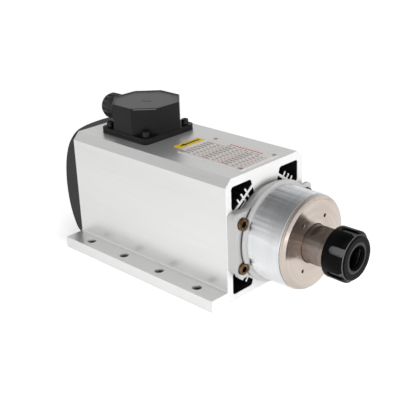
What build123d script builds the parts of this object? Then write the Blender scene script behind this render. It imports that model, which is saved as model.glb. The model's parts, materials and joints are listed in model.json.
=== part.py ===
"""Square air-cooled spindle motor: foot-mounted extrusion, front bell, shaft and collet nut.

Frame, in millimetres: the origin is the centre of the eight foot holes on the seating face,
+X runs along the shaft to the collet nut, +Z is up. The motor axis lies at y = 0, z = axis_height.
"""

import math
import os

from build123d import *

# Body extrusion
body_length = 190.0
body_width = 96.0
body_height = 108.5
axis_height = 53.5
top_chamfer = 6.5
foot_width = 134.0
foot_thickness = 10.5
foot_root_fillet = 1.2
bore_radius = 34.5
bore_wall = 2.8
foot_hole_radius = 4.25
foot_hole_pitch = 46.0
foot_hole_rows = 4
foot_hole_margin = 9.5
relief_depth = 0.6
relief_inner = 10.6
relief_outer = 47.2

# Corner air channels of the extrusion, measured from the motor axis
side_wall = 6.5
top_wall = 7.3
channel_leg = 23.5
channel_side_leg = 18.3
channel_lean = 4.8
channel_drop = 15.9
channel_side_lean = 12.0
channel_side_drop = 10.8
channel_corner_radius = 2.5
web_angle = 54.3
web_distance = 42.1
web_thickness = 2.3
fin_thickness = 1.5
fin_spacing = 5.55
fin_shift = 1.95
outer_fin_length = 4.2
inner_fin_length = 3.6
hook_drop = 3.0
hook_length = 8.0

# Gaps between pieces
seat_gap = 0.02
running_gap = 0.05
free_gap = 0.3

# Front bell
ear_margin = 1.0
ear_half_height = 29.0
ear_thickness = 10.6
ear_corner = 4.0
ear_blend = 7.0
ear_lip = 3.0
ear_lip_rise = 2.4
ear_lip_radius = 41.8
bell_back_radius = 38.0
flange_radius = 43.6
flange_front = 14.0
flange_rim = 1.8
flange_cove = 5.4
boss_radius = 40.0
boss_length = 46.0
boss_edge = 0.6
spigot_length = 8.0
bell_back_wall = 12.0
winding_room = 2.0

# Front bell screws
bell_screw_margin = 6.8
bell_screw_z = 19.7
bell_screw_radius = 3.0
bell_screw_head_radius = 5.0
bell_screw_head_height = 6.0
bell_screw_seat = 7.0
bell_screw_grip = 18.0
tap_run_out = 3.0
socket_flats = 5.0
screw_well_gap = 0.35

# Front bearing pair and retainer
front_bearing_bore = 17.5
front_bearing_outer = 31.0
front_bearing_width = 14.0
front_bearing_count = 2
front_race_wall = 3.4
front_ball_radius = 3.3
front_ball_count = 10
cage_back = 1.2
retainer_thread_radius = 34.0
retainer_radius = 39.0
retainer_rim = 2.6
retainer_thickness = 4.0
retainer_face_radius = 35.8
retainer_cavity_radius = 26.5
retainer_hole_gap = 0.5
pin_hole_radius = 1.6
pin_hole_depth = 2.5
pin_hole_circle = 24.0
pin_hole_angle = 55.0
lock_nut_radius = 22.5
lock_nut_width = 5.0
lock_nut_slot = 4.0

# Shaft
nose_radius = 16.0
nose_thread_edge = 1.0
nose_reach = 21.5
collar_length = 4.0
flat_half_width = 13.5
flat_turn = 12.0
shoulder_radius = 20.0
shoulder_length = 4.0
rotor_seat_radius = 14.0
taper_mouth_radius = 13.0
taper_half_angle = 8.0
taper_length = 32.0
taper_relief_radius = 8.0
taper_relief_length = 14.0
rear_seat_radius = 12.5
rear_shoulder_height = 2.0
fan_seat_radius = 6.0

# Rear bearing and rear bell
rear_bearing_outer = 23.5
rear_bearing_width = 12.0
rear_race_wall = 3.1
rear_ball_radius = 2.35
rear_ball_count = 8
rear_bell_thickness = 6.0
rear_bell_radius = 38.0
rear_ear_gap = 0.8
rear_ear_half_height = 22.0
rear_screw_margin = 9.5
rear_screw_z = 15.0
rear_screw_radius = 2.5
rear_screw_head_radius = 4.2
rear_screw_head_height = 5.0
rear_screw_grip = 14.0
rear_socket_flats = 4.0
rear_bell_back_wall = 4.0
rear_housing_radius = 29.0
rear_housing_wall = 2.0
spring_thickness = 0.8
spring_rise = 1.4
ring_thickness = 1.2
ring_depth = 1.0
ring_height = 2.6

# Stator and rotor
core_start = -38.0
core_length = 88.0
rotor_radius = 18.0
air_gap = 0.35
stator_slots = 12
slot_depth = 9.0
slot_width = 4.0
winding_length = 20.0
winding_inner_radius = 21.5
winding_outer_radius = 31.5
end_ring_length = 9.0
end_ring_radius = 17.0

# Fan and fan cover
fan_radius = 34.0
fan_hub_radius = 10.0
fan_disc = 1.5
fan_length = 10.0
fan_gap = 1.6
fan_blades = 8
fan_blade_thickness = 1.6
cover_depth = 23.5
cover_inset = 1.5
cover_corner = 11.0
cover_flat_radius = 25.0
cover_crown_radius = 58.0
crown_sweep = 50.0
cover_wall = 2.2
cover_lip = 0.8
cover_lip_height = 2.6
cover_slots = 16
cover_slot_width = 3.0
cover_slot_start = 8.5
cover_screw_y = 9.0
cover_screw_z = 46.0
cover_screw_radius = 2.0
cover_screw_head_radius = 3.6
cover_screw_head_height = 2.6
cover_screw_floor = 3.5
cover_screw_grip = 8.0
cover_tap_run_out = 1.0
cover_post_wall = 1.6

# Terminal box
box_x = -45.5
box_plate = 61.0
box_plate_corner = 5.0
box_base_thickness = 2.4
gasket_thickness = 0.8
gasket_inset = 0.6
gasket_opening_gap = 1.0
hood_flange = 2.4
hood_flats = 59.5
hood_height = 29.7
hood_wall = 2.4
hood_rim = 1.6
hood_rim_height = 0.9
box_opening = 37.0
box_screw_spacing = 48.0
box_screw_radius = 2.0
box_screw_head_radius = 3.2
box_screw_head_height = 4.6
box_screw_grip = 6.0
small_socket_flats = 3.0
port_x = -57.0
port_radius = 6.5

# Terminals and leads
block_x = -37.5
block_length = 15.0
block_width = 33.0
block_height = 9.0
block_groove_width = 2.0
block_groove_depth = 3.0
stud_depth = 4.5
stud_spacing = 10.0
stud_radius = 1.9
stud_height = 5.0
stud_nut_radius = 3.2
stud_nut_height = 2.2
lead_radius = 1.4
lead_spacing = 4.0
lead_bend = 5.0
lead_rise = 11.5
earth_screw_x = -48.5
earth_screw_y = 14.0
earth_screw_grip = 6.8
earth_screw_head_height = 2.3

# Cable gland
gland_rise = 15.5
gland_thread_radius = 8.0
gland_collar_flats = 19.0
gland_collar_length = 5.0
gland_sleeve_radius = 9.0
gland_sleeve_length = 9.5
gland_bore_radius = 6.5
gland_cap_radius = 12.0
gland_cap_length = 19.0
gland_cap_mouth = 6.8
gland_cap_wall = 2.0
gland_cap_shoulder = 5.5
gland_ribs = 16
gland_rib_depth = 0.7
gland_rib_gap = 2.0
gland_rib_margin = 1.5
gland_dome_step = 3.3
gland_dome_radius = 10.4
gland_thread_run_out = 1.0
gland_lock_nut_length = 4.0
gland_lock_nut_flats = 19.0
seal_bore_radius = 5.5
seal_length = 6.0

# Plates
plate_x = 53.5
plate_length = 73.0
plate_width = 48.0
plate_thickness = 0.5
plate_corner = 1.5
rivet_inset = 3.2
rivet_radius = 1.1
rivet_head_radius = 1.9
rivet_head_height = 0.8
rivet_length = 4.0
label_x = 9.0
label_y = -1.0
label_length = 9.0
label_width = 30.0
label_thickness = 0.2

# Collet nut
nut_length = 20.0
nut_radius = 21.0
nut_rear_edge = 1.2
nut_cone_length = 4.0
nut_face_radius = 17.2
nut_thread_length = 14.0
nose_setback = 0.5
nut_chamber_radius = 14.6
nut_chamber_length = 2.6
nut_mouth_radius = 13.0
nut_slots = 6
nut_slot_width = 6.4
nut_slot_depth = 2.7
nut_slot_rear = 5.0
ring_mouth_radius = 10.5
ring_flange_thickness = 1.6
ring_bevel = 1.0
ring_setback = 0.4

# Planes that several pieces share
foot_hole_span = foot_width - 2 * foot_hole_margin
ear_half_width = body_width / 2 - ear_margin
bell_screw_y = body_width / 2 - bell_screw_margin
rear_screw_y = body_width / 2 - rear_screw_margin
front = body_length / 2
rear = -body_length / 2
channel_y = body_width / 2 - side_wall
channel_z = body_height - axis_height - top_wall
bearing_start = front + bell_back_wall
bearing_end = bearing_start + front_bearing_count * front_bearing_width
boss_front = front + boss_length
retainer_face = boss_front + retainer_thickness
nut_start = retainer_face + nose_reach
nose_end = nut_start + nut_thread_length - nose_setback
rear_bearing_start = rear + rear_bell_back_wall
rear_bearing_end = rear_bearing_start + rear_bearing_width
core_end = core_start + core_length
fan_start = rear - rear_bell_thickness - fan_gap
fan_end = fan_start - fan_length
box_base_top = body_height + box_base_thickness
gasket_top = box_base_top + gasket_thickness
flange_top = gasket_top + hood_flange
hood_top = body_height + hood_height
gland_height = body_height + gland_rise
gland_wall_x = box_x - hood_flats / 2
cap_start = gland_wall_x - gland_collar_length - free_gap
cap_end = cap_start - gland_cap_length
shell_height = body_height - 2 * cover_inset


def at_axis(x, y=0.0, z=0.0):
    """Plane across the motor axis at x, moved by y and z, with its normal along +X."""
    return Plane(origin=(x, y, axis_height + z), x_dir=(0, 1, 0), z_dir=(1, 0, 0))


def rod(radius, x_from, x_to, y=0.0, z=0.0):
    """Round bar along X, placed from the motor axis."""
    length = x_to - x_from
    return at_axis(x_from, y, z) * Cylinder(radius, length, align=(Align.CENTER, Align.CENTER, Align.MIN))


def tube(inner, outer, x_from, x_to):
    """Round sleeve on the motor axis."""
    return rod(outer, x_from, x_to) - rod(inner, x_from - 1, x_to + 1)


def turned(points, height=None):
    """Solid of revolution about the motor axis, or a parallel axis, from (x, radius) points."""
    level = axis_height if height is None else height
    outline = Polyline(*[(x, 0, level + radius) for x, radius in points], close=True)
    return revolve(make_face(outline), axis=Axis((0, 0, level), (1, 0, 0)))


def upright(radius, x, y, z_from, z_to):
    """Round bar along Z."""
    bar = Cylinder(radius, z_to - z_from, align=(Align.CENTER, Align.CENTER, Align.MIN))
    return Pos(x, y, z_from) * bar


def block(x_from, x_to, y_from, y_to, z_from, z_to):
    """Box between two corners."""
    size = (x_to - x_from, y_to - y_from, z_to - z_from)
    return Pos(x_from, y_from, z_from) * Box(*size, align=(Align.MIN, Align.MIN, Align.MIN))


def cap_screw(radius, grip, head_radius, head_height, flats):
    """Socket cap screw along +Z: its shank ends at 0 and its head seats at the grip length."""
    body = Cylinder(radius, grip, align=(Align.CENTER, Align.CENTER, Align.MIN))
    head = Cylinder(head_radius, head_height, align=(Align.CENTER, Align.CENTER, Align.MIN))
    socket = extrude(RegularPolygon(flats / 2, 6, major_radius=False), head_height)
    return body + Pos(0, 0, grip) * head - Pos(0, 0, grip + head_height / 2) * socket


def four_ways(y, z):
    """The four points at plus and minus y and z."""
    return [(side * y, level * z) for side in (-1, 1) for level in (-1, 1)]


def write(shape, name):
    export_step(shape, f"parts/{name}.step")


# Body extrusion: the section is drawn from the motor axis in the Y-Z plane


def channel_section():
    """Upper right air channel: a corner cell cut across by a finned web."""
    corner = (channel_y, channel_z)
    top_end = (channel_y - channel_leg, channel_z)
    side_end = (channel_y, channel_z - channel_side_leg)
    top_foot = (top_end[0] - channel_lean, top_end[1] - channel_drop)
    side_foot = (side_end[0] - channel_side_lean, side_end[1] - channel_side_drop)
    cell = make_face(Polyline(corner, top_end, top_foot, side_foot, side_end, close=True))
    cell = fillet(cell.vertices().sort_by(Axis.Y)[-2:], channel_corner_radius)
    side_vertex = cell.vertices().sort_by(Axis.X)[-2:].sort_by(Axis.Y)[0]
    cell = fillet(side_vertex, channel_corner_radius)
    cell -= Circle(bore_radius + bore_wall)
    web = Pos(web_distance + web_thickness / 2, 0) * Rectangle(web_thickness, body_width)
    reach = web_distance + web_thickness
    outer_fin = Rectangle(outer_fin_length, fin_thickness)
    for step in (-1, 0, 1):
        web += Pos(reach + outer_fin_length / 2, step * fin_spacing - fin_shift) * outer_fin
    inner_fin = Rectangle(inner_fin_length, fin_thickness)
    web += Pos(web_distance - inner_fin_length / 2, fin_spacing / 2) * inner_fin
    web += Pos(web_distance - hook_drop / 2, -fin_shift) * Rectangle(hook_drop, fin_thickness)
    hook = Rectangle(fin_thickness, hook_length + fin_thickness)
    web += Pos(web_distance - hook_drop, -fin_shift - hook_length / 2) * hook
    return cell - Rot(0, 0, web_angle) * web


def body_section():
    top = body_height - axis_height
    tall = Pos(0, (top - axis_height) / 2) * Rectangle(body_width, body_height)
    tall = chamfer(tall.vertices().group_by(Axis.Y)[-1], top_chamfer)
    foot = Pos(0, foot_thickness / 2 - axis_height) * Rectangle(foot_width, foot_thickness)
    section = tall + foot
    roots = [v for v in section.vertices() if abs(v.Y - (foot_thickness - axis_height)) < 1e-6]
    roots = [v for v in roots if abs(abs(v.X) - body_width / 2) < 1e-6]
    section = fillet(roots, foot_root_fillet)
    section -= Circle(bore_radius)
    channel = channel_section()
    for y_sign in (1, -1):
        for z_sign in (1, -1):
            piece = channel if y_sign == 1 else mirror(channel, about=Plane.YZ)
            piece = piece if z_sign == 1 else mirror(piece, about=Plane.XZ)
            section -= piece
    relief_width = relief_outer - relief_inner
    for side in (-1, 1):
        middle = side * (relief_inner + relief_width / 2)
        section -= Pos(middle, relief_depth / 2 - axis_height) * Rectangle(relief_width, relief_depth)
    return section


def foot_hole_places():
    start = -foot_hole_pitch * (foot_hole_rows - 1) / 2
    rows = [start + foot_hole_pitch * row for row in range(foot_hole_rows)]
    return [(x, side * foot_hole_span / 2) for x in rows for side in (-1, 1)]


def box_screw_places():
    half = box_screw_spacing / 2
    return [(box_x + x, y) for x, y in four_ways(half, half)]


def rivet_places():
    x_half = plate_length / 2 - rivet_inset
    y_half = plate_width / 2 - rivet_inset
    return [(plate_x + x, y) for x, y in four_ways(x_half, y_half)]


def body_extrusion():
    body = extrude(at_axis(rear) * body_section(), body_length)
    for x, y in foot_hole_places():
        body -= upright(foot_hole_radius, x, y, -1, foot_thickness + 1)
    depth = bell_screw_grip - bell_screw_seat + tap_run_out
    for y, z in four_ways(bell_screw_y, bell_screw_z):
        body -= rod(bell_screw_radius + seat_gap, front - depth, front + 1, y, z)
    depth = rear_screw_grip - rear_bell_thickness + tap_run_out
    for y, z in four_ways(rear_screw_y, rear_screw_z):
        body -= rod(rear_screw_radius + seat_gap, rear - 1, rear + depth, y, z)
    for y, z in four_ways(cover_screw_y, cover_screw_z):
        hole_end = rear + cover_screw_grip + cover_tap_run_out
        body -= rod(cover_screw_radius + seat_gap, rear - 1, hole_end, y, z)
    for x, y in box_screw_places():
        body -= upright(box_screw_radius + seat_gap, x, y, body_height - top_wall - 1, body_height + 1)
    for x, y in rivet_places():
        body -= upright(rivet_radius + seat_gap, x, y, body_height - rivet_length, body_height + 1)
    body -= upright(port_radius, port_x, 0, axis_height, body_height + 1)
    earth_hole = box_screw_radius + seat_gap
    return body - upright(earth_hole, earth_screw_x, earth_screw_y, body_height - top_wall, body_height + 1)


# Front bell and what closes it


def ear_section(half_width, half_height, back_radius):
    """Outline of a bell from the front: a round back with an ear to each side."""
    plate = Rectangle(2 * half_width, 2 * half_height)
    plate = chamfer(plate.vertices().group_by(Axis.Y)[0], ear_corner)
    plate = fillet(plate.vertices().group_by(Axis.Y)[-1], ear_corner)
    section = plate + Circle(back_radius)
    meets = [v for v in section.vertices() if abs(math.hypot(v.X, v.Y) - back_radius) < 1e-3]
    return fillet(meets, ear_blend)


def flange_disc():
    """Round flange of the front bell: a thin rim on a cove that runs out of the neck."""
    rim_back = front + flange_front - flange_rim
    neck = rod(bell_back_radius, front, rim_back)
    disc = neck + rod(flange_radius, rim_back, front + flange_front)
    inner_corner = [edge for edge in disc.edges() if abs(edge.center().X - rim_back) < 1e-3]
    return fillet(sorted(inner_corner, key=lambda edge: edge.length)[0], flange_cove)


def front_bell():
    foot_outline = ear_section(ear_half_width, ear_half_height - ear_lip_rise, bell_back_radius)
    bell = extrude(at_axis(front) * foot_outline, ear_thickness - ear_lip)
    lip_outline = ear_section(ear_half_width, ear_half_height, ear_lip_radius)
    bell += extrude(at_axis(front + ear_thickness - ear_lip) * lip_outline, ear_lip)
    bell += flange_disc()
    boss = rod(boss_radius, front + flange_front, boss_front)
    bell += chamfer(boss.edges().sort_by(Axis.X)[-1], boss_edge)
    bell += rod(bore_radius - seat_gap, front - spigot_length, front)
    bell -= rod(shoulder_radius + free_gap, front - spigot_length - 1, boss_front)
    bell -= rod(winding_outer_radius, front - spigot_length - 1, front + winding_room)
    bell -= rod(front_bearing_outer + seat_gap, bearing_start, boss_front + 1)
    bell -= rod(retainer_thread_radius + seat_gap, bearing_end, boss_front + 1)
    for y, z in four_ways(bell_screw_y, bell_screw_z):
        bell -= rod(bell_screw_radius + free_gap, front - 1, boss_front, y, z)
        well = bell_screw_head_radius + screw_well_gap
        bell -= rod(well, front + bell_screw_seat, front + flange_front + 1, y, z)
    return bell


def bell_screws():
    screw = cap_screw(
        bell_screw_radius, bell_screw_grip, bell_screw_head_radius, bell_screw_head_height, socket_flats
    )
    tip = front + bell_screw_seat - bell_screw_grip
    return [at_axis(tip, y, z) * screw for y, z in four_ways(bell_screw_y, bell_screw_z)]


def bearing_retainer():
    """Polished closing disc: its threaded plug presses on the front outer race."""
    face = boss_front + retainer_thickness
    hole = nose_radius + retainer_hole_gap
    disc = turned(
        [
            (bearing_end, retainer_cavity_radius),
            (bearing_end, retainer_thread_radius),
            (boss_front, retainer_thread_radius),
            (boss_front, retainer_radius),
            (boss_front + retainer_rim, retainer_radius),
            (face, retainer_face_radius),
            (face, hole),
            (boss_front, hole),
            (boss_front, retainer_cavity_radius),
        ]
    )
    y = pin_hole_circle * math.cos(math.radians(pin_hole_angle))
    z = pin_hole_circle * math.sin(math.radians(pin_hole_angle))
    for side, level in four_ways(y, z):
        disc -= rod(pin_hole_radius, face - pin_hole_depth, face + 1, side, level)
    return disc


# Bearings: plain races, with balls and cages on their pitch circle


def race_pair(bore, outer, wall, x_from, width):
    """Outer and inner race of one bearing."""
    end = x_from + width
    inner_race = tube(bore + seat_gap, bore + seat_gap + wall, x_from, end)
    return tube(outer - wall, outer, x_from, end), inner_race


def all_races():
    outer_races = []
    inner_races = []
    for number in range(front_bearing_count):
        start = bearing_start + number * front_bearing_width
        pair = race_pair(
            front_bearing_bore, front_bearing_outer, front_race_wall, start, front_bearing_width
        )
        outer_races.append(pair[0])
        inner_races.append(pair[1])
    pair = race_pair(
        rear_seat_radius, rear_bearing_outer, rear_race_wall, rear_bearing_start, rear_bearing_width
    )
    outer_races.append(pair[0])
    inner_races.append(pair[1])
    return outer_races, inner_races


def faceted_ball(radius):
    """Bearing ball drawn with eighteen flats. Its corners lie on the ball's own sphere."""
    corner = math.sqrt(2 * (math.sqrt(2) - 1) ** 2 + 1)
    size = 2 * radius / corner
    ball = Box(size, size, size)
    for turn in (Rot(45, 0, 0), Rot(0, 45, 0), Rot(0, 0, 45)):
        ball &= turn * Box(size, size, size)
    return ball


def ball_places(pitch, count, x):
    turn = 360 / count
    return [at_axis(x) * Rot(0, 0, turn * n) * Pos(pitch, 0, 0) for n in range(count)]


def ball_set(radius, pitch, count, middles):
    ball = faceted_ball(radius)
    return [place * ball for x in middles for place in ball_places(pitch, count, x)]


def cage_set(radius, pitch, count, middles):
    """Crown cages: a ring behind the balls with a finger between each two."""
    cages = []
    half = radius + free_gap
    for x in middles:
        ring = tube(pitch - radius / 3, pitch + radius / 3, x - half - cage_back, x + half)
        for place in ball_places(pitch, count, x):
            ring -= place * Pos(0, 0, half / 2) * Box(2 * radius, 2 * half, 3 * half)
        cages.append(ring)
    return cages


def bearing_lock_nut():
    """Slotted round nut that clamps the front inner races."""
    end = bearing_end + lock_nut_width
    nut = tube(nose_radius + seat_gap, lock_nut_radius, bearing_end, end)
    for turn in (0, 90, 180, 270):
        slot = Pos(lock_nut_radius, 0, 0) * Box(lock_nut_slot, lock_nut_slot, 3 * lock_nut_width)
        nut -= at_axis(end) * Rot(0, 0, turn) * slot
    return nut


# Shaft and what turns with it


def shaft():
    front_shoulder = bearing_start - shoulder_length
    rear_shoulder = rear_bearing_end + shoulder_length
    taper_end = nose_end - taper_length
    taper_small = taper_mouth_radius - taper_length * math.tan(math.radians(taper_half_angle))
    fan_step = rear - rear_bell_thickness
    points = [
        (fan_end - 2 * ring_thickness, 0),
        (fan_end - 2 * ring_thickness, fan_seat_radius),
        (fan_step, fan_seat_radius),
        (fan_step, rear_seat_radius - ring_depth),
        (rear_bearing_start - ring_thickness, rear_seat_radius - ring_depth),
        (rear_bearing_start, rear_seat_radius - ring_depth),
        (rear_bearing_start, rear_seat_radius),
        (rear_bearing_end, rear_seat_radius),
        (rear_bearing_end, rear_seat_radius + rear_shoulder_height),
        (rear_shoulder, rear_seat_radius + rear_shoulder_height),
        (rear_shoulder, rotor_seat_radius),
        (front_shoulder, rotor_seat_radius),
        (front_shoulder, shoulder_radius),
        (bearing_start, shoulder_radius),
        (bearing_start, front_bearing_bore),
        (bearing_end, front_bearing_bore),
        (bearing_end, nose_radius),
        (nose_end - nose_thread_edge, nose_radius),
        (nose_end, nose_radius - nose_thread_edge),
        (nose_end, taper_mouth_radius),
        (taper_end, taper_small),
        (taper_end, taper_relief_radius),
        (taper_end - taper_relief_length, taper_relief_radius),
        (taper_end - taper_relief_length - taper_relief_radius / 2, 0),
    ]
    bar = turned(points)
    flat_start = boss_front + retainer_thickness + collar_length
    flat_end = nut_start - free_gap
    for side in (0, 180):
        cutter = Box(4 * nose_radius, nose_radius, flat_end - flat_start)
        cutter = Pos(0, flat_half_width + nose_radius / 2, 0) * cutter
        bar -= at_axis((flat_start + flat_end) / 2) * Rot(0, 0, flat_turn + side) * cutter
    return bar


def retaining_ring(groove_radius, x_from, x_to):
    """Open spring ring in a groove: the gap is at the bottom."""
    ring = tube(groove_radius + seat_gap, groove_radius + ring_height, x_from, x_to)
    bottom = axis_height - groove_radius - 2 * ring_height
    return ring - block(x_from - 1, x_to + 1, -ring_height, ring_height, bottom, axis_height)


def rotor_end_rings():
    inner = rotor_seat_radius + seat_gap
    behind = tube(inner, end_ring_radius, core_start - end_ring_length, core_start)
    ahead = tube(inner, end_ring_radius, core_end, core_end + end_ring_length)
    return [behind, ahead]


def fan_impeller():
    """Radial fan: hub, back disc and straight blades."""
    disc_end = fan_start - fan_disc
    fan = rod(fan_radius, disc_end, fan_start) + rod(fan_hub_radius, fan_end, fan_start)
    overlap = 1.0
    length = fan_radius - fan_hub_radius
    for number in range(fan_blades):
        blade = Box(length + overlap, fan_blade_thickness, disc_end - fan_end)
        blade = Pos(fan_hub_radius - overlap + (length + overlap) / 2, 0, 0) * blade
        fan += at_axis((disc_end + fan_end) / 2) * Rot(0, 0, number * 360 / fan_blades) * blade
    rim = rod(fan_radius, fan_end - 1, fan_start + 1)
    return (fan & rim) - rod(fan_seat_radius + seat_gap, fan_end - 1, fan_start + 1)


# Rear bell and fan cover


def from_behind(x, y, z):
    """Plane across the axis at x with its normal along -X, for screws put in from the rear."""
    return Plane(origin=(x, y, axis_height + z), x_dir=(0, 1, 0), z_dir=(-1, 0, 0))


def rear_bell():
    half_width = body_width / 2 - cover_inset - cover_wall - rear_ear_gap
    outside = rear - rear_bell_thickness
    housing_end = rear_bearing_end + spring_rise + spring_thickness + seat_gap
    outline = ear_section(half_width, rear_ear_half_height, rear_bell_radius)
    bell = extrude(at_axis(outside) * outline, rear_bell_thickness)
    bell += rod(bore_radius - seat_gap, rear, rear + spigot_length)
    bell += rod(rear_housing_radius, rear, housing_end + rear_housing_wall)
    shaft_hole = rear_seat_radius + ring_height + free_gap
    bell -= rod(shaft_hole, outside - 1, housing_end + rear_housing_wall + 1)
    bell -= rod(rear_bearing_outer + seat_gap, outside - 1, housing_end)
    for y, z in four_ways(rear_screw_y, rear_screw_z):
        bell -= rod(rear_screw_radius + free_gap, outside - 1, rear + 1, y, z)
    return bell


def rear_bell_screws():
    screw = cap_screw(
        rear_screw_radius,
        rear_screw_grip,
        rear_screw_head_radius,
        rear_screw_head_height,
        rear_socket_flats,
    )
    tip = rear - rear_bell_thickness + rear_screw_grip
    return [from_behind(tip, y, z) * screw for y, z in four_ways(rear_screw_y, rear_screw_z)]


def preload_spring():
    """Disc spring between the rear bell's shoulder and the outer race."""
    start = rear_bearing_end
    inner = rear_bearing_outer - rear_race_wall
    outer = rear_bearing_outer - seat_gap
    return turned(
        [
            (start, outer),
            (start + spring_thickness, outer),
            (start + spring_thickness + spring_rise, inner),
            (start + spring_rise, inner),
        ]
    )


def cover_outline(inset, corner):
    width = body_width - 2 * inset
    height = shell_height - 2 * (inset - cover_inset)
    return RectangleRounded(width, height, corner)


def crown(depth):
    """Domed turned body: flat in the middle, then one round sweep down to its rim."""
    top = rear - depth
    level = axis_height + cover_flat_radius
    centre = top + cover_crown_radius
    points = []
    for angle in (0, crown_sweep / 2, crown_sweep):
        turn = math.radians(angle)
        x = centre - cover_crown_radius * math.cos(turn)
        points.append((x, 0, level + cover_crown_radius * math.sin(turn)))
    sweep_edge = ThreePointArc(*points)
    end = points[-1]
    back = Polyline(end, (rear + 1, 0, end[2]), (rear + 1, 0, axis_height), (top, 0, axis_height), points[0])
    return revolve(make_face([sweep_edge, *back.edges()]), axis=Axis((0, 0, axis_height), (1, 0, 0)))


def hollow(depth):
    """Inner face of the dome: two straight cones that follow the outer sweep."""
    points = [(rear - depth, 0), (rear - depth, cover_flat_radius)]
    for angle in (crown_sweep / 2, crown_sweep):
        turn = math.radians(angle)
        drop = cover_crown_radius * (1 - math.cos(turn))
        points.append((rear - depth + drop, cover_flat_radius + cover_crown_radius * math.sin(turn)))
    return turned([*points, (rear + 1, points[-1][1]), (rear + 1, 0)])


def fan_cover():
    """Moulded cover: a dome cut to the body's outline, with a lip, air slots and screw posts."""
    middle = (body_height - 2 * axis_height) / 2
    back = at_axis(rear - cover_depth, 0, middle)
    outer = extrude(back * cover_outline(cover_inset, cover_corner), cover_depth)
    shell = outer & crown(cover_depth)
    lip = cover_outline(cover_inset - cover_lip, cover_corner + cover_lip)
    shell += extrude(at_axis(rear - cover_lip_height, 0, middle) * lip, cover_lip_height)
    inset = cover_inset + cover_wall
    room = extrude(back * cover_outline(inset, cover_corner - cover_wall), cover_depth + 1)
    inside = room & hollow(cover_depth - cover_wall)
    post_radius = cover_screw_head_radius + free_gap + cover_post_wall
    for y, z in four_ways(cover_screw_y, cover_screw_z):
        inside -= rod(post_radius, rear - cover_depth, rear + 2, y, z)
    shell -= inside
    slot_length = cover_flat_radius - cover_slot_start
    for number in range(cover_slots):
        slot = Box(slot_length, cover_slot_width, 2 * cover_depth)
        slot = Pos(cover_slot_start + slot_length / 2, 0, 0) * slot
        shell -= at_axis(rear - cover_depth) * Rot(0, 0, number * 360 / cover_slots) * slot
    for y, z in four_ways(cover_screw_y, cover_screw_z):
        shell -= rod(cover_screw_radius + free_gap, rear - cover_depth, rear + 1, y, z)
        well = cover_screw_head_radius + free_gap
        shell -= rod(well, rear - cover_depth - 1, rear - cover_screw_floor, y, z)
    return shell


def fan_cover_screws():
    screw = cap_screw(
        cover_screw_radius,
        cover_screw_grip + cover_screw_floor,
        cover_screw_head_radius,
        cover_screw_head_height,
        small_socket_flats,
    )
    tip = rear + cover_screw_grip
    return [from_behind(tip, y, z) * screw for y, z in four_ways(cover_screw_y, cover_screw_z)]


# Stator


def stator_core():
    inner = rotor_radius + air_gap
    core = tube(inner, bore_radius - seat_gap, core_start, core_end)
    for number in range(stator_slots):
        slot = Box(slot_depth + 2, slot_width, core_length + 2)
        slot = Pos(inner + slot_depth / 2 - 1, 0, 0) * slot
        core -= at_axis((core_start + core_end) / 2) * Rot(0, 0, number * 360 / stator_slots) * slot
    return core


def stator_windings():
    behind = tube(winding_inner_radius, winding_outer_radius, core_start - winding_length, core_start)
    ahead = tube(winding_inner_radius, winding_outer_radius, core_end, core_end + winding_length)
    return [behind, ahead]


# Terminal box


def on_top(level):
    return Plane(origin=(box_x, 0, level))


def box_holes(radius, z_from, z_to):
    return [upright(radius, x, y, z_from, z_to) for x, y in box_screw_places()]


def terminal_box_base():
    outline = RectangleRounded(box_plate, box_plate, box_plate_corner)
    outline -= RectangleRounded(box_opening, box_opening, box_plate_corner)
    base = extrude(on_top(body_height) * outline, box_base_thickness)
    return base - box_holes(box_screw_radius + free_gap, body_height - 1, box_base_top + 1)


def box_gasket():
    width = box_plate - 2 * gasket_inset
    outline = RectangleRounded(width, width, box_plate_corner - gasket_inset)
    opening = box_opening + 2 * gasket_opening_gap
    outline -= RectangleRounded(opening, opening, box_plate_corner)
    gasket = extrude(on_top(box_base_top) * outline, gasket_thickness)
    return gasket - box_holes(box_screw_radius + free_gap, box_base_top - 1, gasket_top + 1)


def octagon(flats):
    return Rot(0, 0, 22.5) * RegularPolygon(flats / 2, 8, major_radius=False)


def terminal_box_hood():
    """Octagonal hood on a square flange, with its top sunk inside a raised rim."""
    flange = RectangleRounded(box_plate, box_plate, box_plate_corner)
    hood = extrude(on_top(gasket_top) * flange, hood_flange)
    hood += extrude(on_top(gasket_top) * octagon(hood_flats), hood_top - gasket_top)
    recess = octagon(hood_flats - 2 * hood_rim)
    hood -= extrude(on_top(hood_top - hood_rim_height) * recess, hood_rim_height + 1)
    room = hood_top - hood_rim_height - hood_wall - gasket_top
    hood -= extrude(on_top(gasket_top) * octagon(hood_flats - 2 * hood_wall), room)
    hood -= box_holes(box_screw_radius + free_gap, gasket_top - 1, flange_top + 1)
    centre = gland_height - axis_height
    hole_end = gland_wall_x + hood_wall + 1
    return hood - rod(gland_thread_radius + free_gap, gland_wall_x - 1, hole_end, 0, centre)


def box_screws():
    screw = cap_screw(
        box_screw_radius,
        flange_top - body_height + box_screw_grip,
        box_screw_head_radius,
        box_screw_head_height,
        small_socket_flats,
    )
    return [Pos(x, y, body_height - box_screw_grip) * screw for x, y in box_screw_places()]


def stud_places():
    return [(block_x, step * stud_spacing) for step in (-1, 0, 1)]


def terminal_block():
    behind = block_x - block_length / 2
    ahead = block_x + block_length / 2
    top = body_height + block_height
    groove_floor = top - block_groove_depth
    body = block(behind, ahead, -block_width / 2, block_width / 2, body_height, top)
    for step in (-0.5, 0.5):
        near = step * stud_spacing - block_groove_width / 2
        body -= block(behind - 1, ahead + 1, near, near + block_groove_width, groove_floor, top + 1)
    for x, y in stud_places():
        body -= upright(stud_radius + seat_gap, x, y, top - stud_depth, top + 1)
    return body


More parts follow.
